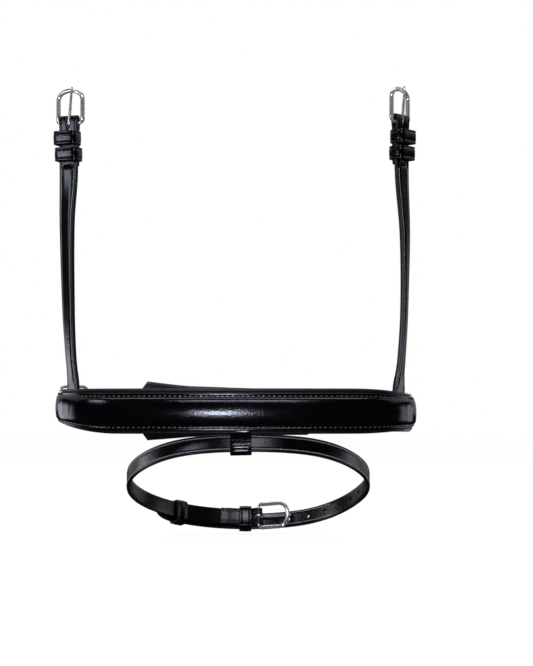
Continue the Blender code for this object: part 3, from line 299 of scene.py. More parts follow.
@dataclass(frozen=True)
class FeltFinish:
    """Pressed wool felt, grey and matt, hidden inside the raised middle of the nosepiece."""

    name: str
    colour: str
    fibre: float

    def material(self) -> Material:
        """Builds the felt's material.

        Returns:
            The material.
        """
        material, add = new_material(self.name)
        where = add("ShaderNodeTexCoord").outputs["Object"]
        fibres = add("ShaderNodeTexNoise", {"Scale": 1 / self.fibre, "Detail": 6.0}, Vector=where)
        bump = add("ShaderNodeBump", {"Strength": 0.8, "Distance": 0.15 * MM}, Height=fibres)
        matt = {"Base Color": linear(self.colour), "Roughness": 0.95}
        shader = add("ShaderNodeBsdfPrincipled", matt, Normal=bump)
        add("ShaderNodeOutputMaterial", Surface=shader)
        return material


# The grain of plated bridle leather is under half a millimetre, drawn here at twice that to show.
BRIDLE_LEATHER = LeatherFinish(
    name="black_bridle_leather",
    colour="#020203",
    worn_colour="#060608",
    edge_colour="#08080A",
    grain=1.2 * MM,
    grain_depth=0.06 * MM,
    crease=6.0 * MM,
    crease_depth=0.08 * MM,
    roughness=0.13,
    spread=0.03,
    edge_roughness=0.36,
    coat=0.1,
    coat_roughness=0.15,
)
# The straps are waxed but not glazed, so that a lamp spreads over them as a soft patch.
STRAP_LEATHER = replace(
    BRIDLE_LEATHER, name="black_strap_leather", roughness=0.22, spread=0.05, grain_depth=0.09 * MM
)
# Softer lining leather folds into longer creases and has less wax on it.
LINING_LEATHER = LeatherFinish(
    name="black_lining_leather",
    colour="#08080A",
    worn_colour="#101013",
    edge_colour="#0E0E11",
    grain=1.1 * MM,
    grain_depth=0.06 * MM,
    crease=7.0 * MM,
    crease_depth=0.3 * MM,
    roughness=0.44,
    spread=0.06,
    edge_roughness=0.5,
    coat=0.08,
    coat_roughness=0.35,
)
# The black thread is drawn dark grey. Part of that grey is a painted sheen, so that the stitches show as
# faint light dots.
WAXED_THREAD = ThreadFinish("waxed_black_thread", "#3E3E44", ply=0.35 * MM, roughness=0.22)
# The straps are sewn along their creases with a finer thread. Its light grey colour is a painted highlight in
# place of the glint that black thread catches, so the rows show as fine light lines.
PAINTED_HIGHLIGHT_THREAD = ThreadFinish("fine_grey_thread_painted_highlight", "#8C8C94", ply=0.25 * MM, roughness=0.2)
POLISHED_STEEL = SteelFinish("polished_stainless_steel", "#E6E5E3", "#C9C6C0", 0.12, scratch=0.5 * MM)
WOOL_FELT = FeltFinish("pressed_wool_felt", "#585858", fibre=0.4 * MM)


class Finishes:
    """What the pieces share: each material with its slot, and the hand that varies the stitches."""

    def __init__(self) -> None:
        """Builds every material once."""
        self.leather = BRIDLE_LEATHER.material(), Slot.LEATHER
        self.lining = LINING_LEATHER.material(), Slot.LINING
        self.strap = STRAP_LEATHER.material(), Slot.LEATHER
        self.thread = WAXED_THREAD.material(), Slot.LEATHER
        self.highlight_painted_thread = PAINTED_HIGHLIGHT_THREAD.material(), Slot.LEATHER
        self.steel = POLISHED_STEEL.material(), Slot.STEEL
        self.felt = WOOL_FELT.material(), Slot.FELT
        self.jitter = random.Random(STITCH_SEED)


# Curves and places


def clamp(value: float, low: float = 0.0, high: float = 1.0) -> float:
    """Keeps a value between two limits."""
    return min(high, max(low, value))


def smooth(value: float) -> float:
    """Eases a share from 0 to 1."""
    share = clamp(value)
    return share * share * (3 - 2 * share)


def bell(value: float, spread: float) -> float:
    """A smooth bump of height 1 at 0."""
    return math.exp(-((value / spread) ** 2))


def rounded(share: float) -> float:
    """The height of a quarter circle at a share of its radius, with a radius of 1."""
    return math.sqrt(max(0.0, 1 - (1 - clamp(share)) ** 2))


def spaced(start: float, end: float, count: int) -> list[float]:
    """Gives count + 1 even steps from start to end."""
    return [start + (end - start) * i / count for i in range(count + 1)]


def curve(start: float, end: float, leaving: float, arriving: float, t: float) -> float:
    """Gives the cubic from start to end at t, with its slopes at both ends."""
    return start + (end - start) * smooth(t) + leaving * t * (1 - t) ** 2 - arriving * t * t * (1 - t)


def pick(pair: Sequence[float], way: float) -> float:
    """Picks the left value of a pair for a number under 0, and else the right one."""
    return pair[0 if way < 0 else 1]


def read_table(table: Sequence[Point2], value: float, smoothly: bool = False) -> float:
    """Reads a table of pairs.

    Args:
        table: Pairs in order of their first number.
        value: Where to read.
        smoothly: Whether a smooth curve joins the pairs, level at both ends, and not straight lines.

    Returns:
        The second number there.
    """

    def slope(i: int) -> float:
        """The smooth curve's slope at one pair."""
        (x0, y0), (x1, y1) = table[max(0, i - 1)], table[min(len(table) - 1, i + 1)]
        return 0.0 if i in (0, len(table) - 1) else (y1 - y0) / (x1 - x0)

    for i, ((x0, y0), (x1, y1)) in enumerate(zip(table, table[1:])):
        if value <= x1:
            t = clamp((value - x0) / (x1 - x0))
            if smoothly:
                return curve(y0, y1, slope(i) * (x1 - x0), slope(i + 1) * (x1 - x0), t)
            return y0 + (y1 - y0) * t
    return table[-1][1]


@dataclass(frozen=True)
class Place:
    """A point of a leather's line, with the directions along it, across it and out of it."""

    point: Vector
    along: Vector
    across: Vector
    out: Vector

    def at(self, across: float, out: float) -> Vector:
        """Gives the point that lies so far across and out from the line."""
        return self.point + self.across * across + self.out * out

    def moved(self, across: float) -> "Place":
        """Gives the same place, moved across the line."""
        return replace(self, point=self.at(across, 0.0))

    def matrix(self, depth: float = 0.0) -> Matrix:
        """Gives the matrix that takes x across, y along and z out to this place."""
        axes = Matrix((self.along.cross(self.out), self.along, self.out)).transposed()
        return Matrix.Translation(self.at(0.0, depth)) @ axes.to_4x4()

    def loop_matrix(self, depth: float, drop: float = 0.0) -> Matrix:
        """Gives the matrix that takes z along and y out to this place, for a loop round a strap."""
        axes = Matrix((self.out.cross(self.along), self.out, self.along)).transposed()
        return Matrix.Translation(self.at(drop, depth)) @ axes.to_4x4()

    def cross_row(self, reach: float, depth: float, steps: int, face: int = 1) -> list[Seat]:
        """Gives seats for stitches straight across, on the outer face or on the inner one, -1."""
        return [(self.at(x, depth), self.out * face) for x in spaced(-reach, reach, steps)]


@dataclass(frozen=True)
class Station:
    """One station of a strap's side view."""

    along: float
    depth: float
    thickness: float


@dataclass(frozen=True)
class Bend:
    """The stretch in which a piece would bend between the nosepiece and a body that swings on it; only its
    two points are kept.
    """

    body: str
    start: Vector
    end: Vector


Line = Callable[[float], Place]
Body = Union[str, Bend]


# Forms and pieces


def wrapped_grid(
    rows: int, columns: int, place: Callable[[int, int], Vector], mark: Callable[[int], float] = lambda _: 0.0
) -> Form:
    """Wraps a grid into a tube or a closed ring and closes the ends that stay open.

    Args:
        rows: Steps along the piece.
        columns: Steps round its section.
        place: Gives the point of a row and a column.
        mark: Gives the edge mark of a column, 1 on a cut edge of leather.

    Returns:
        A closed form with its faces turned outwards.
    """
    form = bmesh.new()
    bmesh.ops.create_grid(form, x_segments=rows, y_segments=columns, size=0.5)
    layer = form.verts.layers.float.new("edge")
    for vertex in form.verts:
        row = round((vertex.co.x + 0.5) * rows)
        column = round((vertex.co.y + 0.5) * columns)
        vertex.co = place(row, column)
        vertex[layer] = mark(column)
    bmesh.ops.remove_doubles(form, verts=form.verts[:], dist=0.002 * MM)
    for face in form.faces:
        face.smooth = True
    ends = [edge for edge in form.edges if edge.is_boundary]
    if ends:
        bmesh.ops.holes_fill(form, edges=ends, sides=0)
    bmesh.ops.recalc_face_normals(form, faces=form.faces[:])
    if form.calc_volume(signed=True) < 0:
        bmesh.ops.reverse_faces(form, faces=form.faces[:])
    return form


def moved_form(form: Form, matrix: Matrix) -> Form:
    """Moves every point of a form by a matrix."""
    bmesh.ops.transform(form, matrix=matrix, verts=form.verts[:])
    return form


def make_piece(form: Form, name: str, material: Material) -> Piece:
    """Turns a form into an object of the scene.

    Args:
        form: The finished form, which is freed.
        name: The piece's name.
        material: Its material.

    Returns:
        The new object, at the origin.
    """
    mesh = bpy.data.meshes.new(name)
    form.to_mesh(mesh)
    form.free()
    mesh.materials.append(material)
    piece = bpy.data.objects.new(name, mesh)
    bpy.context.scene.collection.objects.link(piece)
    return piece


def punch(piece: Piece, cutters: Sequence[Form]) -> None:
    """Cuts holes through a piece and keeps the result as its mesh.

    Args:
        piece: The piece, whose mesh is replaced.
        cutters: Closed forms, which are freed.
    """
    tools = []
    for i, form in enumerate(cutters):
        mesh = bpy.data.meshes.new(f"punch_{i}")
        bmesh.ops.recalc_face_normals(form, faces=form.faces[:])
        form.to_mesh(mesh)
        form.free()
        tool = bpy.data.objects.new(f"punch_{i}", mesh)
        bpy.context.scene.collection.objects.link(tool)
        modifier = piece.modifiers.new(f"punch_{i}", "BOOLEAN")
        modifier.operation = "DIFFERENCE"
        modifier.solver = "MANIFOLD"
        modifier.object = tool
        tools.append(tool)
    graph = bpy.context.evaluated_depsgraph_get()
    old, cut = piece.data, bpy.data.meshes.new_from_object(piece.evaluated_get(graph))
    piece.modifiers.clear()
    piece.data, cut.name = cut, old.name
    bpy.data.meshes.remove(old)
    for tool in tools:
        mesh = tool.data
        bpy.data.objects.remove(tool)
        bpy.data.meshes.remove(mesh)


def add_piece(
    form: Form, name: str, stuff: Stuff, body: Body, replaced: str = "", cutters: Sequence[Form] = ()
) -> Piece:
    """Makes a piece, hides the node that it stands for, hangs it on its body unless it is given a bend, and
    logs it.

    Args:
        form: The finished form, which is freed.
        name: The piece's name.
        stuff: Its material, and its slot, which is not used.
        body: The body that it rides on, or a bend, which leaves it in place on no body.
        replaced: The node that it replaces, if any.
        cutters: Closed forms that cut holes through it, which are freed.

    Returns:
        The piece.
    """
    material, slot = stuff
    piece = make_piece(form, name, material)
    if cutters:
        punch(piece, cutters)
    if replaced:
        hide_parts(replaced)
    if isinstance(body, Bend):
        tuple(body.start)
        tuple(body.end)
        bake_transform(piece)
    else:
        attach(piece, body)
    LOG.info("%s goes with %s, %d faces", name, body, len(piece.data.polygons))
    return piece


# Leather strips and wires


CORNER_STEPS = 3
GROOVE = (1.6, 0.8, 0.0, -0.8, -1.6)
BULLNOSE = 0.7 * MM


@dataclass(frozen=True)
class Section:
    """The outline of a leather strip cut across: rounded corners, creased face and crown."""

    width: float
    thickness: float
    crown: float = 0.0
    crown_power: float = 5.0
    corner: float = 0.7 * MM
    crease_inset: float = 1.7 * MM
    crease_depth: float = 0.22 * MM
    crease_spread: float = 0.24 * MM
    middle_steps: int = 8
    two_faced: bool = False

    def face_height(self, across: float) -> float:
        """Gives the height of the finished face over the middle of the strip.

        Args:
            across: The place across the strip.

        Returns:
            The height.
        """
        inner = self.width / 2 - self.crease_inset
        height = self.thickness / 2 - self.crease_depth * bell(abs(across) - inner, self.crease_spread)
        if abs(across) < inner:
            height += self.crown * (1 - abs(across / inner) ** self.crown_power)
        return height

    def face_stops(self) -> list[float]:
        """Gives the places across the face where the outline has a point.

        Returns:
            The places, from left to right.
        """
        half = self.width / 2
        reach, inner = half - self.corner, half - self.crease_inset
        groove = [inner + step * self.crease_spread for step in GROOVE]
        right = [reach] + [place for place in groove if place < reach]
        middle = spaced(-right[-1], right[-1], self.middle_steps)[1:-1]
        return [-place for place in right] + middle + right[::-1]

    def outline(self) -> list[Mark]:
        """Gives the outline once round, as points across and out with an edge mark.

        Returns:
            The marked points.
        """
        half, deep = self.width / 2, self.thickness / 2
        corner = min(self.corner, deep * 0.96)
        found = [(x, self.face_height(x), 0.0) for x in self.face_stops()]
        turns = [(deep - corner, a) for a in spaced(QUARTER, 0.0, CORNER_STEPS)[1:-1]]
        turns += [(corner - deep, a) for a in spaced(0.0, -QUARTER, CORNER_STEPS)[:-1]]
        right = [
            (half - corner + corner * math.cos(a), level + corner * math.sin(a), 1.0) for level, a in turns
        ]
        if self.two_faced:
            back = [(x, -y, mark) for x, y, mark in reversed(found)]
        else:
            back = [(x, -deep, 0.0) for x in spaced(half - corner, corner - half, 4)]
        return found + right + back + [(-x, y, 1.0) for x, y, _ in reversed(right)]


class Tip(Enum):
    """How a strap's end is cut, with the length that the cut takes up."""

    SQUARE = 0.0
    ROUNDED = 4.5 * MM
    SKIVED = 6.0 * MM
    POINTED = 15.0 * MM


def tip_shares(tip: Tip, left: float, section: Section) -> Point2:
    """Gives the width and the thickness near a strap's end, as shares.

    Args:
        tip: How the end is cut.
        left: The distance left to the end.
        section: The strap's section.

    Returns:
        The share of the width and the share of the thickness.
    """
    nose = rounded(left / BULLNOSE)
    thick = 0.25 + 0.75 * nose
    wide = 1 - (1 - nose) * BULLNOSE / section.width
    if tip is Tip.SKIVED:
        thick *= 0.3 + 0.7 * smooth(left / tip.value)
    if tip is Tip.ROUNDED:
        wide *= 1 - 2 * tip.value / section.width * (1 - rounded(left / tip.value)) * 0.7
    if tip is Tip.POINTED:
        wide *= 0.16 + 0.84 * rounded(left / tip.value)
    return wide, thick


def side_path(
    stations: Sequence[Station], spacing: float, tips: tuple[Tip, Tip]
) -> list[tuple[Station, float]]:
    """Draws a smooth side view through a strap's stations.

    Args:
        stations: The stations in order.
        spacing: The greatest step.
        tips: How the first and the last end are cut, which asks for closer steps there.

    Returns:
        Closer stations, each with its distance from the start.
    """
    alongs, depths = [s.along for s in stations], [s.depth for s in stations]
    marks = [0.0]
    for a, b in zip(stations, stations[1:]):
        marks.append(marks[-1] + math.hypot(b.along - a.along, b.depth - a.depth))
    last, total = len(stations) - 1, marks[-1]

    def tangent(values: Sequence[float], i: int) -> float:
        """The change per length at a station, nearer to that of its shorter side.

        Args:
            values: One value for each station.
            i: The station's number.

        Returns:
            The change.
        """
        if i in (0, last):
            a = min(i, last - 1)
            return (values[a + 1] - values[a]) / (marks[a + 1] - marks[a])
        before, after = marks[i] - marks[i - 1], marks[i + 1] - marks[i]
        first, second = (values[i] - values[i - 1]) / before, (values[i + 1] - values[i]) / after
        return (first * after + second * before) / (before + after)

    def at(distance: float) -> Station:
        """The station at a distance.

        Args:
            distance: The distance from the start.

        Returns:
            The station.
        """
        i = 0
        while i < last - 1 and distance > marks[i + 1]:
            i += 1
        run = marks[i + 1] - marks[i]
        t = clamp((distance - marks[i]) / run)
        along, depth = (
            curve(v[i], v[i + 1], tangent(v, i) * run, tangent(v, i + 1) * run, t) for v in (alongs, depths)
        )
        thin, thick = stations[i].thickness, stations[i + 1].thickness
        return Station(along, depth, thin + (thick - thin) * t)

    stops = set(spaced(0.0, total, max(2, math.ceil(total / spacing)))) | set(marks)
    for tip, start, way in ((tips[0], 0.0, 1), (tips[1], total, -1)):
        close = [0.05, 0.18, 0.4, 0.7] + [mm for mm in spaced(1.0, 15.0, 14) if mm * MM < tip.value]
        stops |= {start + way * mm * MM for mm in close}
    kept: list[float] = []
    for stop in sorted(stops):
        if not kept or stop - kept[-1] > 0.04 * MM:
            kept.append(stop)
    return [(at(stop), stop) for stop in kept]


def build_strap(
    stations: Sequence[Station],
    line: Line,
    section: Section,
    spacing: float,
    tips: tuple[Tip, Tip] = (Tip.SQUARE, Tip.SQUARE),
    relief: Optional[Callable[[float, float], float]] = None,
    crowned: Optional[Callable[[float], float]] = None,
    wide: Optional[Callable[[float], float]] = None,
) -> Form:
    """Sweeps a leather strip's section along its side view.

    Args:
        stations: The side view, by distance along the line, depth and thickness.
        line: The line that the strip is laid on.
        section: The outline that is swept.
        spacing: The greatest step along the strip.
        tips: How its two ends are cut.
        relief: Adds height to the finished face at (distance from the start, across).
        crowned: The share of the section's crown at a distance from the start.
        wide: The share of the section's width at a distance from the start.

    Returns:
        A closed form.
    """
    path = side_path(stations, spacing, tips)
    total = path[-1][1]
    outline = section.outline()
    count, level = len(outline), section.thickness / 2

    def place(row: int, column: int) -> Vector:
        """The point of the strip's skin at a row and a column.

        Args:
            row: The step along the piece.
            column: The step round its section.

        Returns:
            The point.
        """
        station, distance = path[row]
        before, after = path[max(0, row - 1)][0], path[min(len(path) - 1, row + 1)][0]
        run = Vector((after.along - before.along, after.depth - before.depth)).normalized()
        wide0, thick0 = tip_shares(tips[0], distance, section)
        wide1, thick1 = tip_shares(tips[1], total - distance, section)
        x, y, _ = outline[column % count]
        if crowned and y > level:
            y = level + (y - level) * crowned(distance)
        shift = y * station.thickness / section.thickness * min(thick0, thick1)
        if relief and y > 0.3 * section.thickness:
            shift += relief(distance, x)
        share = min(wide0, wide1) * (wide(distance) if wide else 1.0)
        return line(station.along - run.y * shift).at(x * share, station.depth + run.x * shift)

    return wrapped_grid(len(path) - 1, count, place, lambda column: outline[column % count][2])


def rounded_ends(points: Sequence[Vector], radii: Sequence[float]) -> list[tuple[Vector, float]]:
    """Rounds both ends of an open wire.

    Args:
        points: The wire's line.
        radii: Its radius at each point.

    Returns:
        Points with their radii, closer together at the ends.
    """
    start, end = points[0], points[-1]
    first, final = (points[1] - start).normalized(), (points[-2] - end).normalized()
    shares = [(1 - t, math.sqrt(1 - t * t)) for t in (0.99, 0.85, 0.55)]
    head = [(start + first * radii[0] * near, radii[0] * round_) for near, round_ in shares]
    tail = [(end + final * radii[-1] * near, radii[-1] * round_) for near, round_ in shares]
    inner = [
        (point, radius)
        for point, radius in zip(points, radii)
        if (point - start).length > radii[0] and (point - end).length > radii[-1]
    ]
    return head + inner + tail[::-1]


def build_wire(
    points: Sequence[Vector], radii: Sequence[float], closed: bool, up: Vector, sides: int = 16
) -> Form:
    """Sweeps a round section along a wire's line.

    Args:
        points: The wire's line.
        radii: Its radius at each point.
        closed: Whether the line joins up.
        up: A direction square to most of the line.
        sides: Steps round the wire.

    Returns:
        A closed form.
    """
    path = list(zip(points, radii)) if closed else rounded_ends(points, radii)
    count = len(path)

    def place(row: int, column: int) -> Vector:
        """The point of the wire's skin at a row and a column.

        Args:
            row: The step along the piece.
            column: The step round its section.

        Returns:
            The point.
        """
        i = row % count
        before = path[i - 1][0] if closed or i > 0 else path[0][0]
        after = path[(i + 1) % count][0] if closed or i < count - 1 else path[-1][0]
        run = (after - before).normalized()
        side = run.cross(up).normalized()
        top = side.cross(run)
        angle = TAU * column / sides
        return path[i][0] + (side * math.cos(angle) + top * math.sin(angle)) * path[i][1]

    return wrapped_grid(count if closed else count - 1, sides, place)


def rounded_loop(half_x: float, half_y: float, radius: float, arc: int, step: float) -> list[Seat]:
    """Gives a rounded rectangle once round, as points and the directions out of it.

    Args:
        half_x: Half its width.
        half_y: Half its height.
        radius: The radius of its corners.
        arc: Steps in one corner.
        step: The step on its straight sides.

    Returns:
        The points and directions, in the xy plane.
    """
    found = []
    for sx, sy, start in ((1, 1, 0), (-1, 1, 90), (-1, -1, 180), (1, -1, 270)):
        middle = Vector((sx * (half_x - radius), sy * (half_y - radius), 0))
        for angle in spaced(math.radians(start), math.radians(start + 90), arc):
            normal = Vector((math.cos(angle), math.sin(angle), 0))
            found.append((middle + normal * radius, normal))
    closer = []
    for (a, na), (b, nb) in zip(found, found[1:] + found[:1]):
        steps = max(1, round((b - a).length / step))
        closer += [(a.lerp(b, i / steps), na.lerp(nb, i / steps).normalized()) for i in range(steps)]
    return closer


# Sewing


@cache
def bead_shape() -> tuple[list[Vector], list[list[int]]]:
    """Gives the corners and the faces of a round bead with a radius of one.

    Returns:
        The corners, and each face as the numbers of its corners.
    """
    form = bmesh.new()
    bmesh.ops.create_uvsphere(form, u_segments=6, v_segments=5, radius=1.0)
    form.verts.index_update()
    points = [vert.co.copy() for vert in form.verts]
    faces = [[vert.index for vert in face.verts] for face in form.faces]
    form.free()
    return points, faces


@dataclass(frozen=True)
class Sewing:
    """A row of hand-laid stitches, each a short slanted bead of thread."""

    pitch: float = 3.8 * MM
    length: float = 2.6 * MM
    width: float = 0.9 * MM
    height: float = 0.26 * MM
    slant: float = math.radians(14)

    def add(self, form: Form, place: Place, slant: float) -> None:
        """Adds one stitch to a form.

        Args:
            form: The form that holds the row.
            place: Where the stitch lies, on the leather's face.
            slant: Its turn on the face.
        """
        size = Matrix.Diagonal((self.width / 2, self.length / 2, self.height / 2, 1.0))
        matrix = place.matrix() @ Matrix.Rotation(slant, 4, "Z") @ size
        points, faces = bead_shape()
        corners = [form.verts.new(matrix @ point) for point in points]
        for face in faces:
            form.faces.new([corners[i] for i in face]).smooth = True

    def row(self, form: Form, seats: Sequence[Seat], jitter: random.Random) -> None:
        """Lays stitches along a line of closely spaced seats.

        Args:
            form: The form that holds the rows of one piece.
            seats: Points on the leather's face with the directions out of it.
            jitter: Source of the small differences between stitches.
        """
        gone = self.pitch / 2
        for (start, out0), (end, out1) in zip(seats, seats[1:]):
            step = (end - start).length
            run = (end - start).normalized()
            while gone < step:
                out = out0.lerp(out1, gone / step).normalized()
                out = (out - run * out.dot(run)).normalized()
                place = Place(start.lerp(end, gone / step), run, run.cross(out), out)
                self.add(form, place, self.slant * jitter.uniform(0.6, 1.4))
                gone += self.pitch * jitter.uniform(0.97, 1.03)
            gone -= step

    def sew(self, name: str, rows: Sequence[Sequence[Seat]], finishes: Finishes, body: Body) -> None:
        """Sews rows of stitches as one piece.

        Args:
            name: The piece's name.
            rows: The seats of each row.
            finishes: The shared materials.
            body: What carries the piece.
        """
        form = bmesh.new()
        for seats in rows:
            self.row(form, seats, finishes.jitter)
        # The fine crease rows take the light grey thread, whose colour is a painted highlight.
        add_piece(form, name, finishes.highlight_painted_thread if self is FINE_SEWING else finishes.thread, body)


SEAM_SEWING = Sewing()
STRAP_SEWING = Sewing(pitch=2.4 * MM, length=1.7 * MM, width=0.75 * MM, height=0.42 * MM)
FINE_SEWING = Sewing(pitch=1.7 * MM, length=1.35 * MM, width=0.8 * MM, height=0.36 * MM)


# Nosepiece


# Each fold's turn in degrees, under 0 on the left, its height and its spread in mm.
WRINKLES = (
    (-50, 0.26, 1.0), (-57, 0.24, 0.9), (-64, 0.3, 0.9), (-72, 0.28, 1.2), (-80, 0.2, 1.2),
    (54, 0.22, 1.0), (62, 0.26, 1.0), (71, 0.22, 1.3),
)
# The lining's rolled rim, in mm outwards from 2.7 mm inside its edge and in depth.
LINING_RIM = ((0.6, 0.1), (1.2, 0.55), (1.9, 0.45), (2.4, -0.1), (2.7, -0.9), (2.62, -1.8), (2.2, -2.6))
RING_STEP = 2.01 * MM


@dataclass
class Nosepiece:
    """The raised and padded band over the nose, with the rings at its two ends."""

    finishes: Finishes
    front_radius: float = 350 * MM
    corner_radius: float = 55 * MM
    half_span: float = 131.8 * MM
    tail: float = 4.5 * MM
    gap: float = 0.3 * MM
    facing_width: float = 27.5 * MM
    facing_thickness: float = 1.2 * MM
    backing_thickness: float = 2.0 * MM
    lining_width: float = 32.0 * MM
    lining_thickness: float = 5.0 * MM
    lining_edge: float = 2.6 * MM
    end_width: float = 0.72
    taper_start: float = 0.52
    raise_width: float = 20.8 * MM
    raise_height: float = 3.4 * MM
    end_raise: float = 0.38
    crown_share: float = 0.45
    crown_drop: float = 0.8 * MM
    lifts: Point2 = (1.8 * MM, 0.8 * MM)
    end_fill: float = 0.04
    top_fill: float = 1.1 * MM
    seam_inset: float = 2.4 * MM
    rises: Point2 = (2.4 * MM, -1.0 * MM)
    strap_turn: float = math.radians(55)
    tab_thickness: float = 2.0 * MM
    chape_width: float = 15.4 * MM
    chape_thickness: float = 1.8 * MM
    chape_sewn: float = 12.0 * MM
    ring_wire: float = 1.2 * MM
    ring_height: float = 30.0 * MM
    ring_length: float = 26.2 * MM
    ring_corner: float = 3.4 * MM
    ring_turn: float = math.radians(38)
    ring_outset: float = 2.2 * MM
    ring_rises: Point2 = (3.2 * MM, 0.7 * MM)

    def __post_init__(self) -> None:
        """Works out the band's length, its seam and facing, and where the rings' near bars lie."""
        self.corner_start = math.asin(
            (self.half_span - self.corner_radius) / (self.front_radius - self.corner_radius)
        )
        self.front = self.front_radius * self.corner_start
        self.bent = self.front + self.corner_radius * (QUARTER - self.corner_start)
        self.half = self.bent + self.tail
        self.backing_half = self.half - self.chape_sewn - self.gap
        self.seam = self.facing_width / 2 - self.seam_inset
        self.face_depth = self.backing_thickness + self.gap + self.facing_thickness / 2
        self.chape_reach = self.ring_wire + self.gap + self.chape_thickness / 2
        self.near_bar = self.half + self.gap + self.chape_thickness / 2 + self.chape_reach

    def at_turn(self, turn: float) -> float:
        """The distance from the middle at which the corner has turned so far."""
        return self.front + self.corner_radius * (turn - self.corner_start)

    def line(self, distance: float) -> Place:
        """Gives the place on the backing's inner face.

        Args:
            distance: The distance from the middle, positive to the right.

        Returns:
            The place there.
        """
        start, reach = self.corner_start, abs(distance)
        side = math.copysign(1, distance)
        turn = reach / self.front_radius
        if reach > self.front:
            turn = min(QUARTER, start + (reach - self.front) / self.corner_radius)
        arc = min(turn, start)
        x = self.front_radius * math.sin(arc)
        y = self.front_radius * (1 - math.cos(arc))
        if turn > start:
            x += self.corner_radius * (math.sin(turn) - math.sin(start))
            y += self.corner_radius * (math.cos(start) - math.cos(turn))
        y += max(0.0, reach - self.bent) - self.lining_thickness - self.gap
        out = Vector((side * math.sin(turn), -math.cos(turn), 0))
        along = Vector((math.cos(turn), side * math.sin(turn), 0))
        rise = pick(self.rises, distance) * self.end_share(distance)
        return Place(Vector((side * x, y, rise)), along, UP, out)

    def end_share(self, distance: float) -> float:
        """Says how near a place is to the end of the band, eased from 0 to 1."""
        return smooth((abs(distance) - self.half * self.taper_start) / (self.half * (1 - self.taper_start)))

    def width_share(self, distance: float) -> float:
        """The band's width there, as a share of its full width."""
        return 1 - (1 - self.end_width) * self.end_share(distance)

    def band(self, distance: float) -> Place:
        """Gives the band's line as the leather really lies, drawn up a little towards its ends."""
        return self.line(distance).moved(pick(self.lifts, distance) * self.end_share(distance))

    def band_share(self, distance: float) -> float:
        """The share of its full width that the leather really has there."""
        return self.width_share(distance) + self.end_fill * self.end_share(distance)

    def raised(self, distance: float, across: float) -> float:
        """How far the raised middle stands over the flat margins, with the groove at its foot.

        Args:
            distance: The distance from the middle of the band.
            across: The place across the band at its full width.

        Returns:
            The height.
        """
        share = self.band_share(distance)
        foot = min(self.raise_width / 2, self.seam * share + 0.1 * MM)
        place = abs(across) * share
        left = self.half - abs(distance)
        kept = self.end_raise + (1 - self.end_raise) * smooth((left - 8 * MM) / (22 * MM))
        kept *= rounded((left - self.gap) / (2.5 * MM))
        groove = 0.3 * MM * bell(place - foot - 0.2 * MM, 0.6 * MM)
        crown = 1 - self.crown_share * ((across * share + self.crown_drop) / foot) ** 2
        return self.raise_height * kept * crown * math.sqrt(1 - min(1.0, place / foot) ** 10) - groove

    def wrinkles(self, distance: float, across: float) -> float:
        """The height of the upright folds where the stiff facing turns the corners.

        Args:
            distance: The distance from the middle of the band.
            across: The place across the band at its full width.

        Returns:
            The height.
        """
        found = 0.0
        for turn, height, spread in WRINKLES:
            middle = math.copysign(self.at_turn(math.radians(abs(turn))), turn)
            lean = math.copysign(0.08, turn) * across + 0.6 * MM * math.sin(across * 420 + turn)
            found += height * MM * bell(distance - middle - lean, spread * MM)
        return found * (1 - smooth(abs(across) / (self.facing_width * 0.44)))

    def build_facing(self) -> None:
        """Builds the glossy facing with its raised middle, sewn margins and corner wrinkles."""
        thick = self.facing_thickness
        section = Section(
            self.facing_width,
            thick,
            corner=0.55 * MM,
            crease_inset=self.seam_inset,
            crease_depth=0.3 * MM,
            crease_spread=0.5 * MM,
            middle_steps=46,
        )

        def relief(distance: float, across: float) -> float:
            """The raised middle and the wrinkles at a point of the face."""
            return self.raised(distance - self.half, across) + self.wrinkles(distance - self.half, across)

        form = build_strap(
            [Station(s, self.face_depth, thick) for s in spaced(-self.half, self.half, 60)],
            self.band,
            section,
            spacing=1.3 * MM,
            tips=(Tip.ROUNDED, Tip.ROUNDED),
            relief=relief,
            wide=lambda distance: self.band_share(distance - self.half),
        )
        add_piece(form, "nosepiece_facing", self.finishes.leather, "nosepiece", "nose_facing")

    def build_backing(self) -> None:
        """Builds the plain leather between the facing and the lining."""
        reach, thick = self.backing_half, self.backing_thickness
        form = build_strap(
            [Station(s, thick / 2, thick) for s in spaced(-reach, reach, 50)],
            self.band,
            Section(self.facing_width, thick, crease_depth=0.0, middle_steps=4),
            spacing=3 * MM,
            wide=lambda distance: self.band_share(distance - reach),
        )
        add_piece(form, "nosepiece_backing", self.finishes.leather, "nosepiece", "nose_backing")

    def lining_height(self, across: float) -> float:
        """Gives the lining's thickness at a place across it, without its seams."""
        share = min(1.0, abs(across) / (self.lining_width / 2))
        return self.lining_edge + (self.lining_thickness - self.lining_edge) * (1 - share**4)

    def lining_outline(self, pucker: float) -> list[Point2]:
        """Gives the lining's section: flat where it is sewn on, full at its rims and its middle.

        Args:
            pucker: How far a stitch draws the seams in here, from 0 to 1.

        Returns:
            Points across and out, at the band's full width.
        """
        half = self.lining_width / 2
        sewn = self.facing_width / 2 - 0.5 * MM
        right = [(half - 2.7 * MM + x * MM, y * MM) for x, y in LINING_RIM]
        inner = []
        for x in spaced(half - 1.2 * MM, 1.2 * MM - half, 30):
            thick = self.lining_height(x) + 0.35 * MM * (1 - min(1.0, abs(x) / half) ** 2)
            thick -= (1.0 + 0.45 * pucker) * MM * bell(abs(x) - self.seam, 1.3 * MM)
            thick *= 1 - 0.35 * smooth((abs(x) - half + 2.4 * MM) / (1.4 * MM))
            inner.append((x, -self.gap - min(thick, self.lining_thickness)))
        found = [(x, -self.gap) for x in spaced(-sewn, sewn, 6)]
        found += right + inner + [(-x, y) for x, y in reversed(right)]
        reach = half - self.seam
        return [(x + self.top_fill / reach * clamp(x - self.seam, 0.0, reach), y) for x, y in found]

    def build_lining(self) -> None:
        """Builds the padded lining, drawn in along the two seams with a pucker at each stitch."""
        reach = self.backing_half
        stops = spaced(-reach, reach, 240)

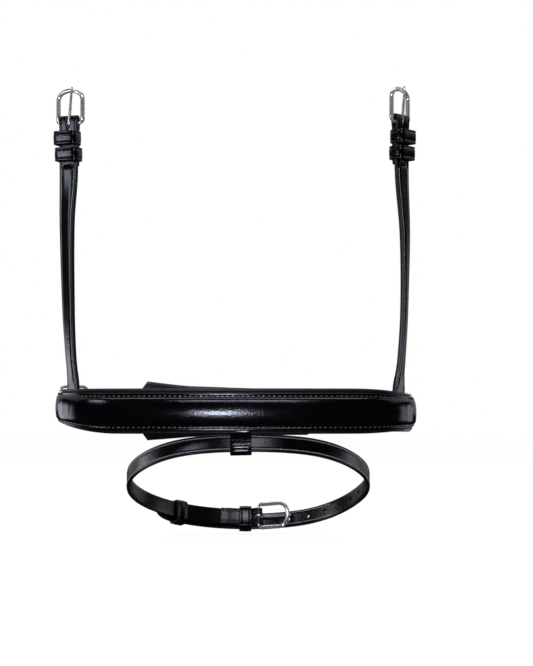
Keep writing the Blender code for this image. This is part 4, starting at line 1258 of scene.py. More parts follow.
        def place(row: int, column: int) -> Vector:
            """The point of the lining's skin at a row and a column.

            Args:
                row: The step along the piece.
                column: The step round its section.

            Returns:
                The point.
            """
            distance = stops[row]
            outline = self.lining_outline(0.5 + 0.5 * math.cos(TAU * distance / SEAM_SEWING.pitch))
            x, y = outline[column % len(outline)]
            nose = rounded((reach - abs(distance)) / (2.2 * MM))
            y = -self.gap + (y + self.gap) * (0.35 + 0.65 * nose)
            return self.band(distance).at(x * self.band_share(distance) * (0.93 + 0.07 * nose), y)

        form = wrapped_grid(len(stops) - 1, len(self.lining_outline(0.0)), place)
        piece = add_piece(form, "nosepiece_lining", self.finishes.lining, "nosepiece", "nose_lining")

    def seam_seats(self, side: int, inner: bool) -> list[Seat]:
        """Gives closely spaced seats along one of the long seams.

        Args:
            side: 1 for the upper seam and -1 for the lower one.
            inner: Whether the row lies on the lining and not on the facing.

        Returns:
            The seats.
        """
        reach = self.half - (self.chape_sewn + 3 * MM if inner else 2.6 * MM)
        depth = self.face_depth + self.facing_thickness / 2 + 0.02 * MM
        if inner:
            depth = -self.gap - self.lining_height(self.seam) + 0.75 * MM
        found = []
        for distance in spaced(-reach, reach, 300):
            spot = self.band(distance)
            point = spot.at(side * self.seam * self.band_share(distance), depth)
            found.append((point, -spot.out if inner else spot.out))
        return found

    def build_sewing(self) -> None:
        """Sews the long seams on both faces and the short ones over the ring chapes."""
        face, back = bmesh.new(), bmesh.new()
        finishes = self.finishes
        for side in (1, -1):
            SEAM_SEWING.row(face, self.seam_seats(side, False), finishes.jitter)
            SEAM_SEWING.row(back, self.seam_seats(side, True), finishes.jitter)
        depth = self.face_depth + self.facing_thickness / 2 - 0.1 * MM
        for side in (-1, 1):
            distance = side * (self.half - 2.6 * MM)
            reach = self.seam * self.band_share(distance) - 0.6 * MM
            SEAM_SEWING.row(face, self.band(distance).cross_row(reach, depth, 12), finishes.jitter)
        add_piece(face, "nosepiece_facing_stitches", finishes.thread, "nosepiece")
        add_piece(back, "nosepiece_lining_stitches", finishes.thread, "nosepiece")

    def ring_direction(self, side: Side) -> Vector:
        """The way that a ring points from the nosepiece to the jaw strap."""
        return Vector((-side.value * math.cos(self.ring_turn), math.sin(self.ring_turn), 0))

    def ring_point(self, side: Side, share: float) -> Vector:
        """Gives a point between a ring's near bar, 0, and its far bar, 1, half way up the band."""
        near = self.line(side.value * self.near_bar).at(0.0, self.ring_outset)
        return near + self.ring_direction(side) * ((self.ring_length - 2 * self.ring_wire) * share)

    def build_ring(self, side: Side) -> None:
        """Builds a ring of bent steel wire.

        Args:
            side: Which ring.
        """
        middle = self.ring_point(side, 0.5) + UP * pick(self.ring_rises, side.value)
        way = self.ring_direction(side)
        half_x, half_y = self.ring_length / 2 - self.ring_wire, self.ring_height / 2 - self.ring_wire
        flat = rounded_loop(half_x, half_y, self.ring_corner, 7, RING_STEP)
        points = [middle + way * point.x + UP * point.y for point, _ in flat]
        form = build_wire(points, [self.ring_wire] * len(points), True, way.cross(UP))
        name = side.word + "_ring"
        add_piece(form, name + "_wire", self.finishes.steel, name, name)

    def build_chape(self, side: Side) -> None:
        """Builds the leather fold that holds a ring, sewn between the layers of the band.

        Args:
            side: Which end of the band.
        """
        thick, reach = self.chape_thickness, self.chape_reach
        middle = self.backing_thickness / 2
        second = middle - thick - self.gap
        sewn, edge = self.half - self.chape_sewn, self.half + self.gap
        bar, outset = self.near_bar, self.ring_outset
        points = [(sewn, middle), ((sewn + edge) / 2, middle), (edge, middle)]
        turns = spaced(math.radians(186), -QUARTER, 16)
        points += [(bar + reach * math.cos(a), outset + reach * math.sin(a)) for a in turns]
        points += [(edge, second), (sewn, second)]

        def line(distance: float) -> Place:
            """The band's line, followed from the middle to this end."""
            spot = self.band(side.value * distance)
            return replace(spot, along=spot.along * side.value)

        section = Section(self.chape_width, thick, crease_inset=1.5 * MM, crease_depth=0.15 * MM)
        form = build_strap([Station(s, d, thick) for s, d in points], line, section, spacing=0.9 * MM)
        name = side.word + "_ring_chape"
        add_piece(form, name + "_fold", self.finishes.leather, "nosepiece", name)
        reach, depth = self.chape_width / 2 - 2 * MM, second - thick / 2 + 0.1 * MM
        rows = [line(self.half - inset).cross_row(reach, depth, 8, -1) for inset in (2.2 * MM, 7.5 * MM)]
        SEAM_SEWING.sew(name + "_stitches", rows, self.finishes, "nosepiece")

    def build(self) -> None:
        """Builds every piece of the nosepiece and both rings."""
        self.build_facing()
        self.build_backing()
        self.build_lining()
        self.build_sewing()
        for side in Side:
            self.build_ring(side)
            self.build_chape(side)


# Buckles, keepers and folds


EYE_START, EYE_END = math.radians(-38), math.radians(-270)
EYE_STEPS = 18
SLOT_WIDTH = 3.2 * MM
SLOT_REACH = 6.2 * MM
SLOT_ROOM = 4 * MM


@dataclass(frozen=True)
class Buckle:
    """A bent wire frame with its bar on the local x axis, and the prong that turns on the bar."""

    inner_width: float = 16.5 * MM
    wire: float = 1.7 * MM
    bar: float = 1.1 * MM
    length: float = 27.2 * MM
    bow_rise: float = 7.8 * MM
    heel: float = 2.4 * MM
    prong: float = 1.1 * MM
    gap: float = 0.3 * MM
    overhang: float = 0.6 * MM
    widen: float = 1.0

    @property
    def reach(self) -> float:
        """From the middle of the bar to the middle of the bow's wire."""
        return self.length - self.wire - self.bar

    def frame_line(self) -> list[Vector]:
        """Gives the middle of the frame's wire, once round.

        Returns:
            Points in the frame's own directions.
        """
        half, heel = self.inner_width / 2 + self.wire, self.heel
        spring = self.reach - self.bow_rise
        bend, over = spaced(-QUARTER, 0.0, 7), spaced(0.0, math.pi, 30)
        right = [(half - heel + heel * math.cos(a), heel + heel * math.sin(a)) for a in bend]
        right += [(half, y) for y in spaced(heel, spring, 6)[1:-1]]
        bow = [(half * math.cos(a), spring + self.bow_rise * math.sin(a) ** 0.8) for a in over]
        left = [(-x, y) for x, y in reversed(right)]
        bar = [(x, 0.0) for x in spaced(heel - half, half - heel, 8)[1:-1]]
        return [Vector((x * self.widen, y, 0)) for x, y in right + bow + left + bar]

    def prong_line(self, lean: float = 0.0) -> list[Vector]:
        """Gives the middle of the prong's wire, from its open eye to its tip over the bow.

        Args:
            lean: How far the shank leans to one side.

        Returns:
            Points in the frame's own directions.
        """
        eye = self.bar + self.gap + self.prong
        rest = self.wire + self.gap + self.prong
        bow, touch = self.reach, rest - 0.05 * MM
        points = [(eye * math.cos(a), eye * math.sin(a)) for a in spaced(EYE_START, EYE_END, EYE_STEPS)]
        points += [
            (bow * 0.12, eye * 1.02),
            (bow * 0.3, eye + (rest - eye) * 0.3),
            (bow / 2, (eye + rest) / 2),
            (bow * 0.75, touch),
            (bow - self.wire, rest),
            (bow, rest),
            (bow + self.wire, touch),
            (bow + self.wire + self.overhang, rest - self.overhang / 2),
        ]
        return [Vector((y * math.tan(lean), y, z)) for y, z in points]

    def build(self, word: str, matrix: Matrix, finishes: Finishes, body: str = "", lean: float = 0.0) -> None:
        """Builds the frame, and the prong, which is thinner towards its tip.

        Args:
            word: The strap's word in the names of nodes and bodies.
            matrix: The frame's place.
            finishes: The shared materials.
            body: The body that carries both, where they have none of their own.
            lean: How far the prong's shank leans to one side.
        """
        line, bar, wire = self.frame_line(), self.bar, self.wire
        radii = [bar + (wire - bar) * smooth(p.y / self.heel) if p.y < self.heel else wire for p in line]
        form = moved_form(build_wire(line, radii, True, UP), matrix)
        node = word + "_buckle"
        add_piece(form, node + "_wire", finishes.steel, body or node, node + "_frame")
        line = self.prong_line(lean)
        radii = [self.prong * (1 - 0.3 * smooth((p.y - self.reach * 0.5) / (self.reach * 0.6))) for p in line]
        form = moved_form(build_wire(line, radii, False, Vector((1, 0, 0)), 12), matrix)
        add_piece(form, word + "_prong_wire", finishes.steel, body or word + "_prong", node + "_prong")


@dataclass(frozen=True)
class Keeper:
    """A flat leather loop round a stack of straps, creased along both of its edges."""

    inner_width: float
    inner_depth: float
    wall: float = 1.6 * MM
    length: float = 10.0 * MM
    corner: float = 3.0 * MM
    bulge: float = 0.55 * MM
    swell: float = 0.14 * MM

    def outline(self) -> list[Seat]:
        """Gives the loop's middle line, whose two wide faces swell, with the directions out of it.

        Returns:
            The points, each with its direction outwards.
        """
        half_x, half_y = (self.inner_width + self.wall) / 2, (self.inner_depth + self.wall) / 2
        found = []
        for point, normal in rounded_loop(half_x, half_y, self.corner - self.wall / 2, 5, 1.5 * MM):
            share = max(0.0, 1 - (point.x / half_x) ** 2)
            found.append((point + Vector((0, math.copysign(self.bulge * share, point.y), 0)), normal))
        return found

    def build(self, name: str, matrix: Matrix, finishes: Finishes, body: str) -> None:
        """Builds the loop.

        Args:
            name: The name of the node that it replaces.
            matrix: Its place, with z along the strap and y outwards.
            finishes: The shared materials.
            body: The body that carries it.
        """
        path = self.outline()
        section = Section(self.length, self.wall, corner=0.5 * MM, crease_depth=0.3 * MM, middle_steps=6)
        marks = section.outline()

        def place(row: int, column: int) -> Vector:
            """The point of the loop's skin at a row and a column.

            Args:
                row: The step along the piece.
                column: The step round its section.

            Returns:
                The point.
            """
            point, normal = path[row % len(path)]
            along, out, _ = marks[column % len(marks)]
            swell = self.swell * (1 - (2 * along / self.length) ** 2) if out > 0 else 0.0
            return point + normal * (out + swell) + UP * along

        form = wrapped_grid(len(path), len(marks), place, lambda column: marks[column % len(marks)][2])
        moved_form(form, matrix)
        bmesh.ops.recalc_face_normals(form, faces=form.faces[:])
        add_piece(form, name + "_loop", finishes.leather, body, name)


def fold_stations(
    bar: float, depth: float, reach: float, thickness: float, second: float, end: float,
    side: int = 1, slack: float = 0.0,
) -> list[Station]:
    """Folds a strap over a bar and lays its end back along itself.

    Args:
        bar: The bar's distance along the strap.
        depth: The bar's depth.
        reach: From the middle of the bar to the leather.
        thickness: The leather's thickness in the fold.
        second: The depth of the folded end.
        end: Where the folded end stops.
        side: 1 where the strap comes in over the bar's outer side, -1 where it comes in under it.
        slack: How far the fold stands off beyond the bar.

    Returns:
        The fold's stations.
    """
    radius = reach + thickness / 2
    way = math.copysign(1, bar - end)
    points = [
        (bar + way * slack + way * radius * math.cos(a), depth + side * radius * math.sin(a))
        for a in spaced(QUARTER, -QUARTER, 10)
    ]
    if slack:
        points = [(bar, depth + side * radius)] + points + [(bar, depth - side * radius)]
    points += [(s, second) for s in spaced(bar - way * 7 * MM, end, 4)]
    return [Station(s, d, thickness) for s, d in points]


def hole_form(place: Place, depth: float, radius: float, height: float) -> Form:
    """Makes a round punch through a strap.

    Args:
        place: The strap's place.
        depth: How far out the strap's middle lies there.
        radius: The hole's radius.
        height: The punch's length.

    Returns:
        A closed cylinder.
    """
    form = bmesh.new()
    bmesh.ops.create_cone(form, cap_ends=True, segments=20, radius1=radius, radius2=radius, depth=height)
    return moved_form(form, place.matrix(depth))


def slot_form(place: Place, depth: float, slack: float = 0.0) -> Form:
    """Makes a box that cuts a prong's slot through a fold.

    Args:
        place: The strap's place at the bar.
        depth: How far out the bar lies.
        slack: How far the fold stands off beyond the bar.

    Returns:
        A closed box.
    """
    form = bmesh.new()
    bmesh.ops.create_cube(form, size=1.0)
    ahead = slack + SLOT_ROOM
    size = Matrix.Diagonal((SLOT_WIDTH, SLOT_REACH + ahead, 2 * SLOT_ROOM, 1.0))
    shift = Matrix.Translation((0, (ahead - SLOT_REACH) / 2, 0))
    return moved_form(form, place.matrix(depth) @ shift @ size)


@dataclass
class Strap:
    """What the cheek straps, the flash strap and the jaw strap share."""

    finishes: Finishes
    nose: Nosepiece
    width: float = 12.7 * MM
    thickness: float = 2.6 * MM
    fold_thickness: float = 1.8 * MM
    gap: float = 0.3 * MM
    return_length: float = 32.0 * MM
    keeper_from_bar: float = 11.2 * MM
    keeper_length: float = 10.0 * MM
    depth_play: float = 0.5 * MM
    buckle: Buckle = Buckle()

    @property
    def bar_depth(self) -> float:
        """The depth of the buckle's bar."""
        skive = (self.thickness - self.fold_thickness) / 2
        return skive - (self.fold_thickness / 2 + self.gap + self.buckle.bar)

    @property
    def return_depth(self) -> float:
        """The depth of the middle of the folded end."""
        return -(self.thickness + self.fold_thickness) / 2 - self.gap


# Cheek straps


@dataclass
class CheekStrap(Strap):
    """A raised strap that is sewn into the nosepiece and ends in a buckle with two keepers."""

    side: Side = Side.LEFT
    thickness: float = 3.0 * MM
    fullness: float = 1.8 * MM
    crease_inset: float = 2.0 * MM
    crown: float = 0.95 * MM
    kick: float = 0.4 * MM
    bow: float = 4.6 * MM
    lengths: Point2 = (196.8 * MM, 199.6 * MM)
    leans: Point2 = (math.radians(6), math.radians(4))
    tail_run: float = 7 * MM
    slack: float = 2.7 * MM
    keeper_play: float = 1.4 * MM
    strap_room: float = 3.1 * MM
    runner_gap: float = 2.2 * MM
    keeper_shift: float = 1.0 * MM
    frame_shifts: Point2 = (0.8 * MM, -0.9 * MM)
    foot: float = 9.0 * MM

    BOWS = {
        Side.LEFT: ((0.0, 0.0), (0.13, 0.42), (0.29, 0.76), (0.62, 1.0), (0.8, 0.74), (1.0, 0.74)),
        Side.RIGHT: ((0.0, 0.0), (0.12, 0.46), (0.3, 0.9), (0.58, 1.0), (0.8, 0.5), (1.0, 0.5)),
    }
    TWISTS = {
        Side.LEFT: ((0.0, 0.611), (0.08, 0.68), (0.3, 0.61), (0.63, 0.48), (0.84, 0.24), (1.0, 0.24)),
        Side.RIGHT: ((0.0, 0.611), (0.08, 0.76), (0.3, 0.79), (0.57, 0.70), (0.84, 0.53), (1.0, 0.53)),
    }

    def __post_init__(self) -> None:
        """Works out where the strap bends, how long it is and where its folded end stops."""
        nose = self.nose
        distance = nose.at_turn(nose.strap_turn)
        edge = nose.lining_width / 2 * nose.width_share(distance - self.width / 2)
        rise = edge + self.thickness / 2 + 2 * self.gap
        self.hinge = nose.line(self.side.value * distance).at(rise, -self.gap - nose.tab_thickness / 2)
        self.length = pick(self.lengths, self.side.value)
        self.free = self.length - self.return_length
        self.body = self.side.word + "_cheek"
        self.bend = Bend(self.body, self.hinge - UP * MM, self.hinge + UP * (26 * MM))

    def line(self, height: float) -> Place:
        """Gives the strap's place at a height over its foot.

        Args:
            height: The height, under 0 inside the nosepiece.

        Returns:
            The place there.
        """
        share = clamp(height / self.length)
        turn = QUARTER * read_table(self.TWISTS[self.side], share, True)
        bow = self.bow * read_table(self.BOWS[self.side], share, True)
        kick = self.kick * clamp((height - self.length + SLOT_REACH) / SLOT_REACH)
        out = Vector((self.side.value * math.sin(turn), -math.cos(turn), 0))
        point = self.hinge + Vector((self.side.value * bow, 0, height)) + out * kick
        return Place(point, UP, UP.cross(out), out)

    def stations(self) -> list[Station]:
        """Gives the side view: the sewn-in foot, the long run, the fold and the folded end.

        Returns:
            The stations.
        """
        thick, thin, tab = self.thickness, self.fold_thickness, self.nose.tab_thickness
        found = [Station(-self.foot, 0.0, tab), Station(-3 * MM, 0.0, tab), Station(0.0, 0.0, thick * 0.9)]
        run = spaced(0.0, self.free, 20)[1:] + [self.free + self.tail_run, self.length - SLOT_REACH]
        found += [Station(height, 0.0, thick) for height in run]
        reach = self.buckle.bar + self.gap
        return found + fold_stations(
            self.length, self.bar_depth, reach, thin, self.return_depth, self.free, slack=self.slack
        )

    def face_relief(self, distance: float, across: float) -> float:
        """The arched step that ends the raised middle under the keepers.

        Args:
            distance: The distance from the foot's end.
            across: The place across the strap.

        Returns:
            The height, which is under 0 in the step.
        """
        height = distance - self.foot
        arch = 1.6 * MM * (1 - (across / (self.width / 2)) ** 2)
        depth = 0.3 * MM if height <= self.length else 0.0
        return -depth * bell(height - (self.free - 1.2 * MM + arch), 0.45 * MM)

    def build_strap(self) -> None:
        """Builds the strap in one piece, bent to the side view and cut for the prong."""
        section = Section(
            self.width + self.fullness,
            self.thickness,
            crown=self.crown,
            corner=0.5 * MM,
            crease_inset=self.crease_inset,
            crease_depth=0.4 * MM,
            crease_spread=0.42 * MM,
            middle_steps=14,
        )

        def crowned(distance: float) -> float:
            """The share of the crown, which starts over the foot and stops at the arched step."""
            height = distance - self.foot
            return smooth(height / (6 * MM)) * smooth((self.free + 0.6 * MM - height) / (1.6 * MM))

        form = build_strap(
            self.stations(),
            self.line,
            section,
            spacing=1.8 * MM,
            tips=(Tip.SQUARE, Tip.SKIVED),
            relief=self.face_relief,
            crowned=crowned,
        )
        cutter = slot_form(self.line(self.length), self.bar_depth, self.slack)
        name = self.body + "_strap"
        add_piece(form, name + "_leather", self.finishes.strap, self.bend, name, [cutter])

    def build_sewing(self) -> None:
        """Sews the folded end in two short rows, and the strap along both of its creases."""
        rows = []
        reach = self.width / 2 - 1.9 * MM
        for height in (self.free + 2.6 * MM, self.length - SLOT_REACH - 1.2 * MM):
            spot = self.line(height)
            rows.append(spot.cross_row(reach, self.thickness / 2 - 0.02 * MM, 10))
            rows.append(spot.cross_row(reach, self.return_depth - self.fold_thickness / 2, 10, -1))
        STRAP_SEWING.sew(self.body + "_stitches", rows, self.finishes, self.body)
        edge = (self.width + self.fullness) / 2 - self.crease_inset
        depth = self.thickness / 2 + 0.02 * MM
        spots = [self.line(height) for height in spaced(3 * MM, self.free - 2 * MM, 90)]
        rows = [[(spot.at(across, depth), spot.out) for spot in spots] for across in (-edge, edge)]
        FINE_SEWING.sew(self.body + "_seam_stitches", rows, self.finishes, self.bend)

    def build_keepers(self) -> None:
        """Builds the fixed keeper and the runner."""
        word = self.side.word
        low = self.return_depth - self.fold_thickness / 2
        high = self.thickness / 2 + self.strap_room
        keeper = Keeper(self.width + 2 * self.keeper_play, high - low + 2 * self.depth_play)
        place = self.length - self.keeper_from_bar
        shift = self.side.value * self.keeper_shift
        matrix = self.line(place).loop_matrix((low + high) / 2, shift)
        keeper.build(word + "_fixed_keeper", matrix, self.finishes, self.body)
        place -= self.keeper_length + self.runner_gap
        matrix = self.line(place).loop_matrix((low + high) / 2)
        keeper.build(word + "_runner", matrix, self.finishes, word + "_runner")

    def build(self) -> None:
        """Builds every piece of the strap."""
        self.build_strap()
        self.build_sewing()
        shift = Matrix.Translation((pick(self.frame_shifts, self.side.value), 0.0, 0.0))
        matrix = self.line(self.length).matrix(self.bar_depth) @ shift
        self.buckle.build(self.side.word, matrix, self.finishes, lean=pick(self.leans, self.side.value))
        self.build_keepers()


# Flash strap


@dataclass
class FlashStrap(Strap):
    """The thin strap that hangs as a loop under the band, and the leather loop that carries it."""

    radius: float = 92.4 * MM
    tilt: float = math.radians(20.2)
    offset: float = 9.4 * MM
    fullness: float = 0.5 * MM
    loop_offset: float = 3.5 * MM
    loop_width: float = 15.6 * MM
    loop_wall: float = 1.5 * MM
    loop_room: float = 0.7 * MM
    loop_sewn: float = 7.0 * MM
    bar_turn: float = math.radians(5.9)
    tip_turn: float = math.radians(51)
    runner_turn: float = math.radians(36.5)
    tuck_turn: float = math.radians(75)
    clearance: float = 4.2 * MM
    tuck_drop: float = 2.6 * MM
    hole_pitch: float = 17.0 * MM
    holes: int = 7
    first_hole_turn: float = math.radians(20.6)
    hole_radius: float = 1.4 * MM
    crease_inset: float = 2.0 * MM
    buckle_tilt: float = math.radians(9)

    def __post_init__(self) -> None:
        """Works out the circle's middle and directions, the loop's hinge and the buckle's bar."""
        nose = self.nose
        tab_y = nose.line(0.0).point.y + self.gap + nose.tab_thickness / 2
        self.sideways = Vector((1, 0, 0))
        self.back = Vector((0, math.cos(self.tilt), -math.sin(self.tilt)))
        self.up = self.sideways.cross(self.back)
        under = nose.lining_width / 2 + self.gap
        drop = under + self.width / 2 * math.cos(self.tilt) + self.thickness / 2 * math.sin(self.tilt)
        self.centre = Vector((self.offset, tab_y, -drop)) + self.back * self.radius
        self.hinge = Vector((self.loop_offset, tab_y, -under))
        self.bar = self.bar_turn * self.radius

    def line(self, distance: float) -> Place:
        """Gives a place on the strap's circle.

        Args:
            distance: The distance from its back, which grows towards the right side.

        Returns:
            The place there.
        """
        turn = distance / self.radius
        out = self.sideways * math.sin(turn) + self.back * math.cos(turn)
        along = self.sideways * math.cos(turn) - self.back * math.sin(turn)
        outward, upward = self.spring(turn)
        return Place(self.centre + out * (self.radius + outward) + self.up * upward, along, self.up, out)

    def spring(self, turn: float) -> Point2:
        """How far the springy strap stands out of and over its circle beside the band's middle."""
        aside = abs(turn % TAU - math.pi)
        return 0.9 * MM * bell(aside - 0.9, 0.4), 1.3 * MM * bell(aside - 0.6, 0.36)

    def tuck_share(self, turn: float) -> float:
        """Says how far the strap has left its circle to pass outside the buckle, once round."""
        bow = self.bar_turn + self.buckle.length / self.radius
        return smooth((self.tuck_turn - turn) / (self.tuck_turn - bow))

    def tucked(self, distance: float) -> Place:
        """Gives a place on the strap, lower on its first round where its tip passes the buckle."""
        share = self.tuck_share(distance / self.radius + TAU) if distance < -self.radius else 0.0
        return self.line(distance).moved(-self.tuck_drop * share)

    def stations(self) -> list[Station]:
        """Gives the side view: the tip, once round, over the buckle's bar and back.

        Returns:
            The stations.
        """
        start = self.bar_turn - SLOT_REACH / self.radius
        found = [
            Station(turn * self.radius, self.clearance * self.tuck_share(turn + TAU), self.thickness)
            for turn in spaced(start - TAU - self.tip_turn, start, 110)
        ]
        reach, end = self.buckle.bar + self.gap, self.bar - self.return_length
        thin = self.fold_thickness
        return found + fold_stations(self.bar, self.bar_depth, reach, thin, self.return_depth, end)

    def build_strap(self) -> None:
        """Builds the strap in one piece, with its holes and the prong's slot."""
        section = Section(
            self.width + self.fullness,
            self.thickness,
            crease_inset=self.crease_inset,
            crease_depth=0.45 * MM,
            crease_spread=0.4 * MM,
        )
        tips = (Tip.POINTED, Tip.SKIVED)
        form = build_strap(self.stations(), self.tucked, section, spacing=1.6 * MM, tips=tips)
        cutters = [slot_form(self.line(self.bar), self.bar_depth)]
        for i in range(self.holes):
            turn = self.first_hole_turn + self.hole_pitch * i / self.radius
            spot, depth = self.tucked((turn - TAU) * self.radius), self.clearance * self.tuck_share(turn)
            cutters.append(hole_form(spot, depth, self.hole_radius, 2 * SLOT_ROOM))
        add_piece(form, "flash_strap_leather", self.finishes.strap, "flash_strap", "flash_strap", cutters)

    def build_sewing(self) -> None:
        """Sews the folded end along both edges and across, and the strap along both of its creases."""
        depth = self.return_depth - self.fold_thickness / 2
        edge = self.width / 2 - 2.2 * MM
        start, end = self.bar - self.return_length + 3 * MM, self.bar - SLOT_REACH - 1.5 * MM
        spots = [self.line(distance) for distance in spaced(start, end, 16)]
        rows = [[(spot.at(across, depth), -spot.out) for spot in spots] for across in (-edge, edge)]
        rows += [self.line(place).cross_row(edge, depth, 8, -1) for place in (start, end)]
        STRAP_SEWING.sew("flash_stitches", rows, self.finishes, "flash_strap")
        edge = (self.width + self.fullness) / 2 - self.crease_inset
        spots = [self.tucked(s) for s in spaced(-TAU * self.radius * 0.985, self.bar - 4 * MM, 240)]
        depth = self.thickness / 2
        rows = [[(spot.at(across, depth), spot.out) for spot in spots] for across in (-edge, edge)]
        FINE_SEWING.sew("flash_crease_stitches", rows, self.finishes, "flash_strap")

    def build_loop(self) -> None:
        """Builds the doubled leather that is sewn into the band and carries the strap."""
        wall = self.loop_wall
        turn = math.pi + math.asin((self.offset - self.loop_offset) / self.radius)
        spot = self.line(turn * self.radius)
        middle = self.thickness / 2 + self.loop_room + wall / 2
        bottom, top = -self.width / 2 + self.thickness / 4, self.width / 2 - wall / 2
        near, neck = 0.84 * middle, 0.55 * wall
        arc = [
            (bottom - middle * math.sin(a), (near - middle) / 2 + (near + middle) / 2 * math.cos(a))
            for a in spaced(0.0, math.pi, 12)
        ]

        def sewn_in(rise: float, shift: float) -> Point2:
            """A point between the band's layers, as distance up and out from the strap."""
            offset = self.hinge + Vector((0, -shift, rise)) - spot.point
            return offset.dot(spot.across), offset.dot(spot.out)

        def line(height: float) -> Place:
            """The plane of the loop's side view."""
            return Place(spot.moved(height).point, spot.across, spot.across.cross(spot.out), spot.out)

        rises = (self.loop_sewn, self.loop_sewn / 2, MM)
        points = [sewn_in(rise, neck) for rise in rises]
        points += [(top, 0.8 * middle), (top / 2, 1.04 * middle), (0.1 * top, 1.14 * middle)]
        points += [(0.8 * bottom, 1.12 * middle)] + arc
        points += [(0.0, -middle), (top / 2, -middle), (top - self.thickness, -middle)]
        points += [sewn_in(rise, -neck) for rise in reversed(rises)]
        section = Section(
            self.loop_width, wall, crease_inset=2.8 * MM, crease_depth=0.35 * MM, crease_spread=0.45 * MM
        )
        form = build_strap([Station(s, d, wall) for s, d in points], line, section, spacing=0.9 * MM)
        bend = Bend("flash_loop", self.hinge + UP * (2 * MM), self.hinge - UP * (5 * MM))
        add_piece(form, "flash_loop_leather", self.finishes.leather, bend, "flash_loop")

    def build_keepers(self) -> None:
        """Builds the fixed keeper and the runner, straight loops round a curved strap."""
        inner = -self.thickness / 2 - self.keeper_length**2 / (2 * self.radius)
        outer = self.clearance + self.thickness / 2
        low = inner - self.gap - self.fold_thickness
        for name, place, deep, body in (
            ("flash_fixed_keeper", self.bar - self.keeper_from_bar, low, "flash_strap"),
            ("flash_runner", -self.runner_turn * self.radius, inner, "flash_runner"),
        ):
            matrix = self.line(place).loop_matrix((deep + outer) / 2, -self.tuck_drop / 2)
            keeper = Keeper(self.width + self.tuck_drop + 2 * self.gap, outer - deep + 2 * self.depth_play)
            keeper.build(name, matrix, self.finishes, body)

    def build(self) -> None:
        """Builds every piece of the strap."""
        self.build_strap()
        self.build_sewing()
        self.build_loop()
        tilt = Matrix.Rotation(-self.buckle_tilt, 4, "X")
        self.buckle.build("flash", self.line(self.bar).matrix(self.bar_depth) @ tilt, self.finishes)
        self.build_keepers()


# Jaw strap


# The pad's width as a share of its full width, by the place from its left end, -1, to its right.
PAD_OUTLINE = (
    (-1.0, 0.5), (-0.925, 0.72), (-0.862, 1.02), (-0.42, 0.89), (0.0, 0.83),
    (0.42, 0.81), (0.78, 0.79), (0.84, 0.62), (0.92, 0.46),
)
PAD_RIM = (0.25, 0.7)


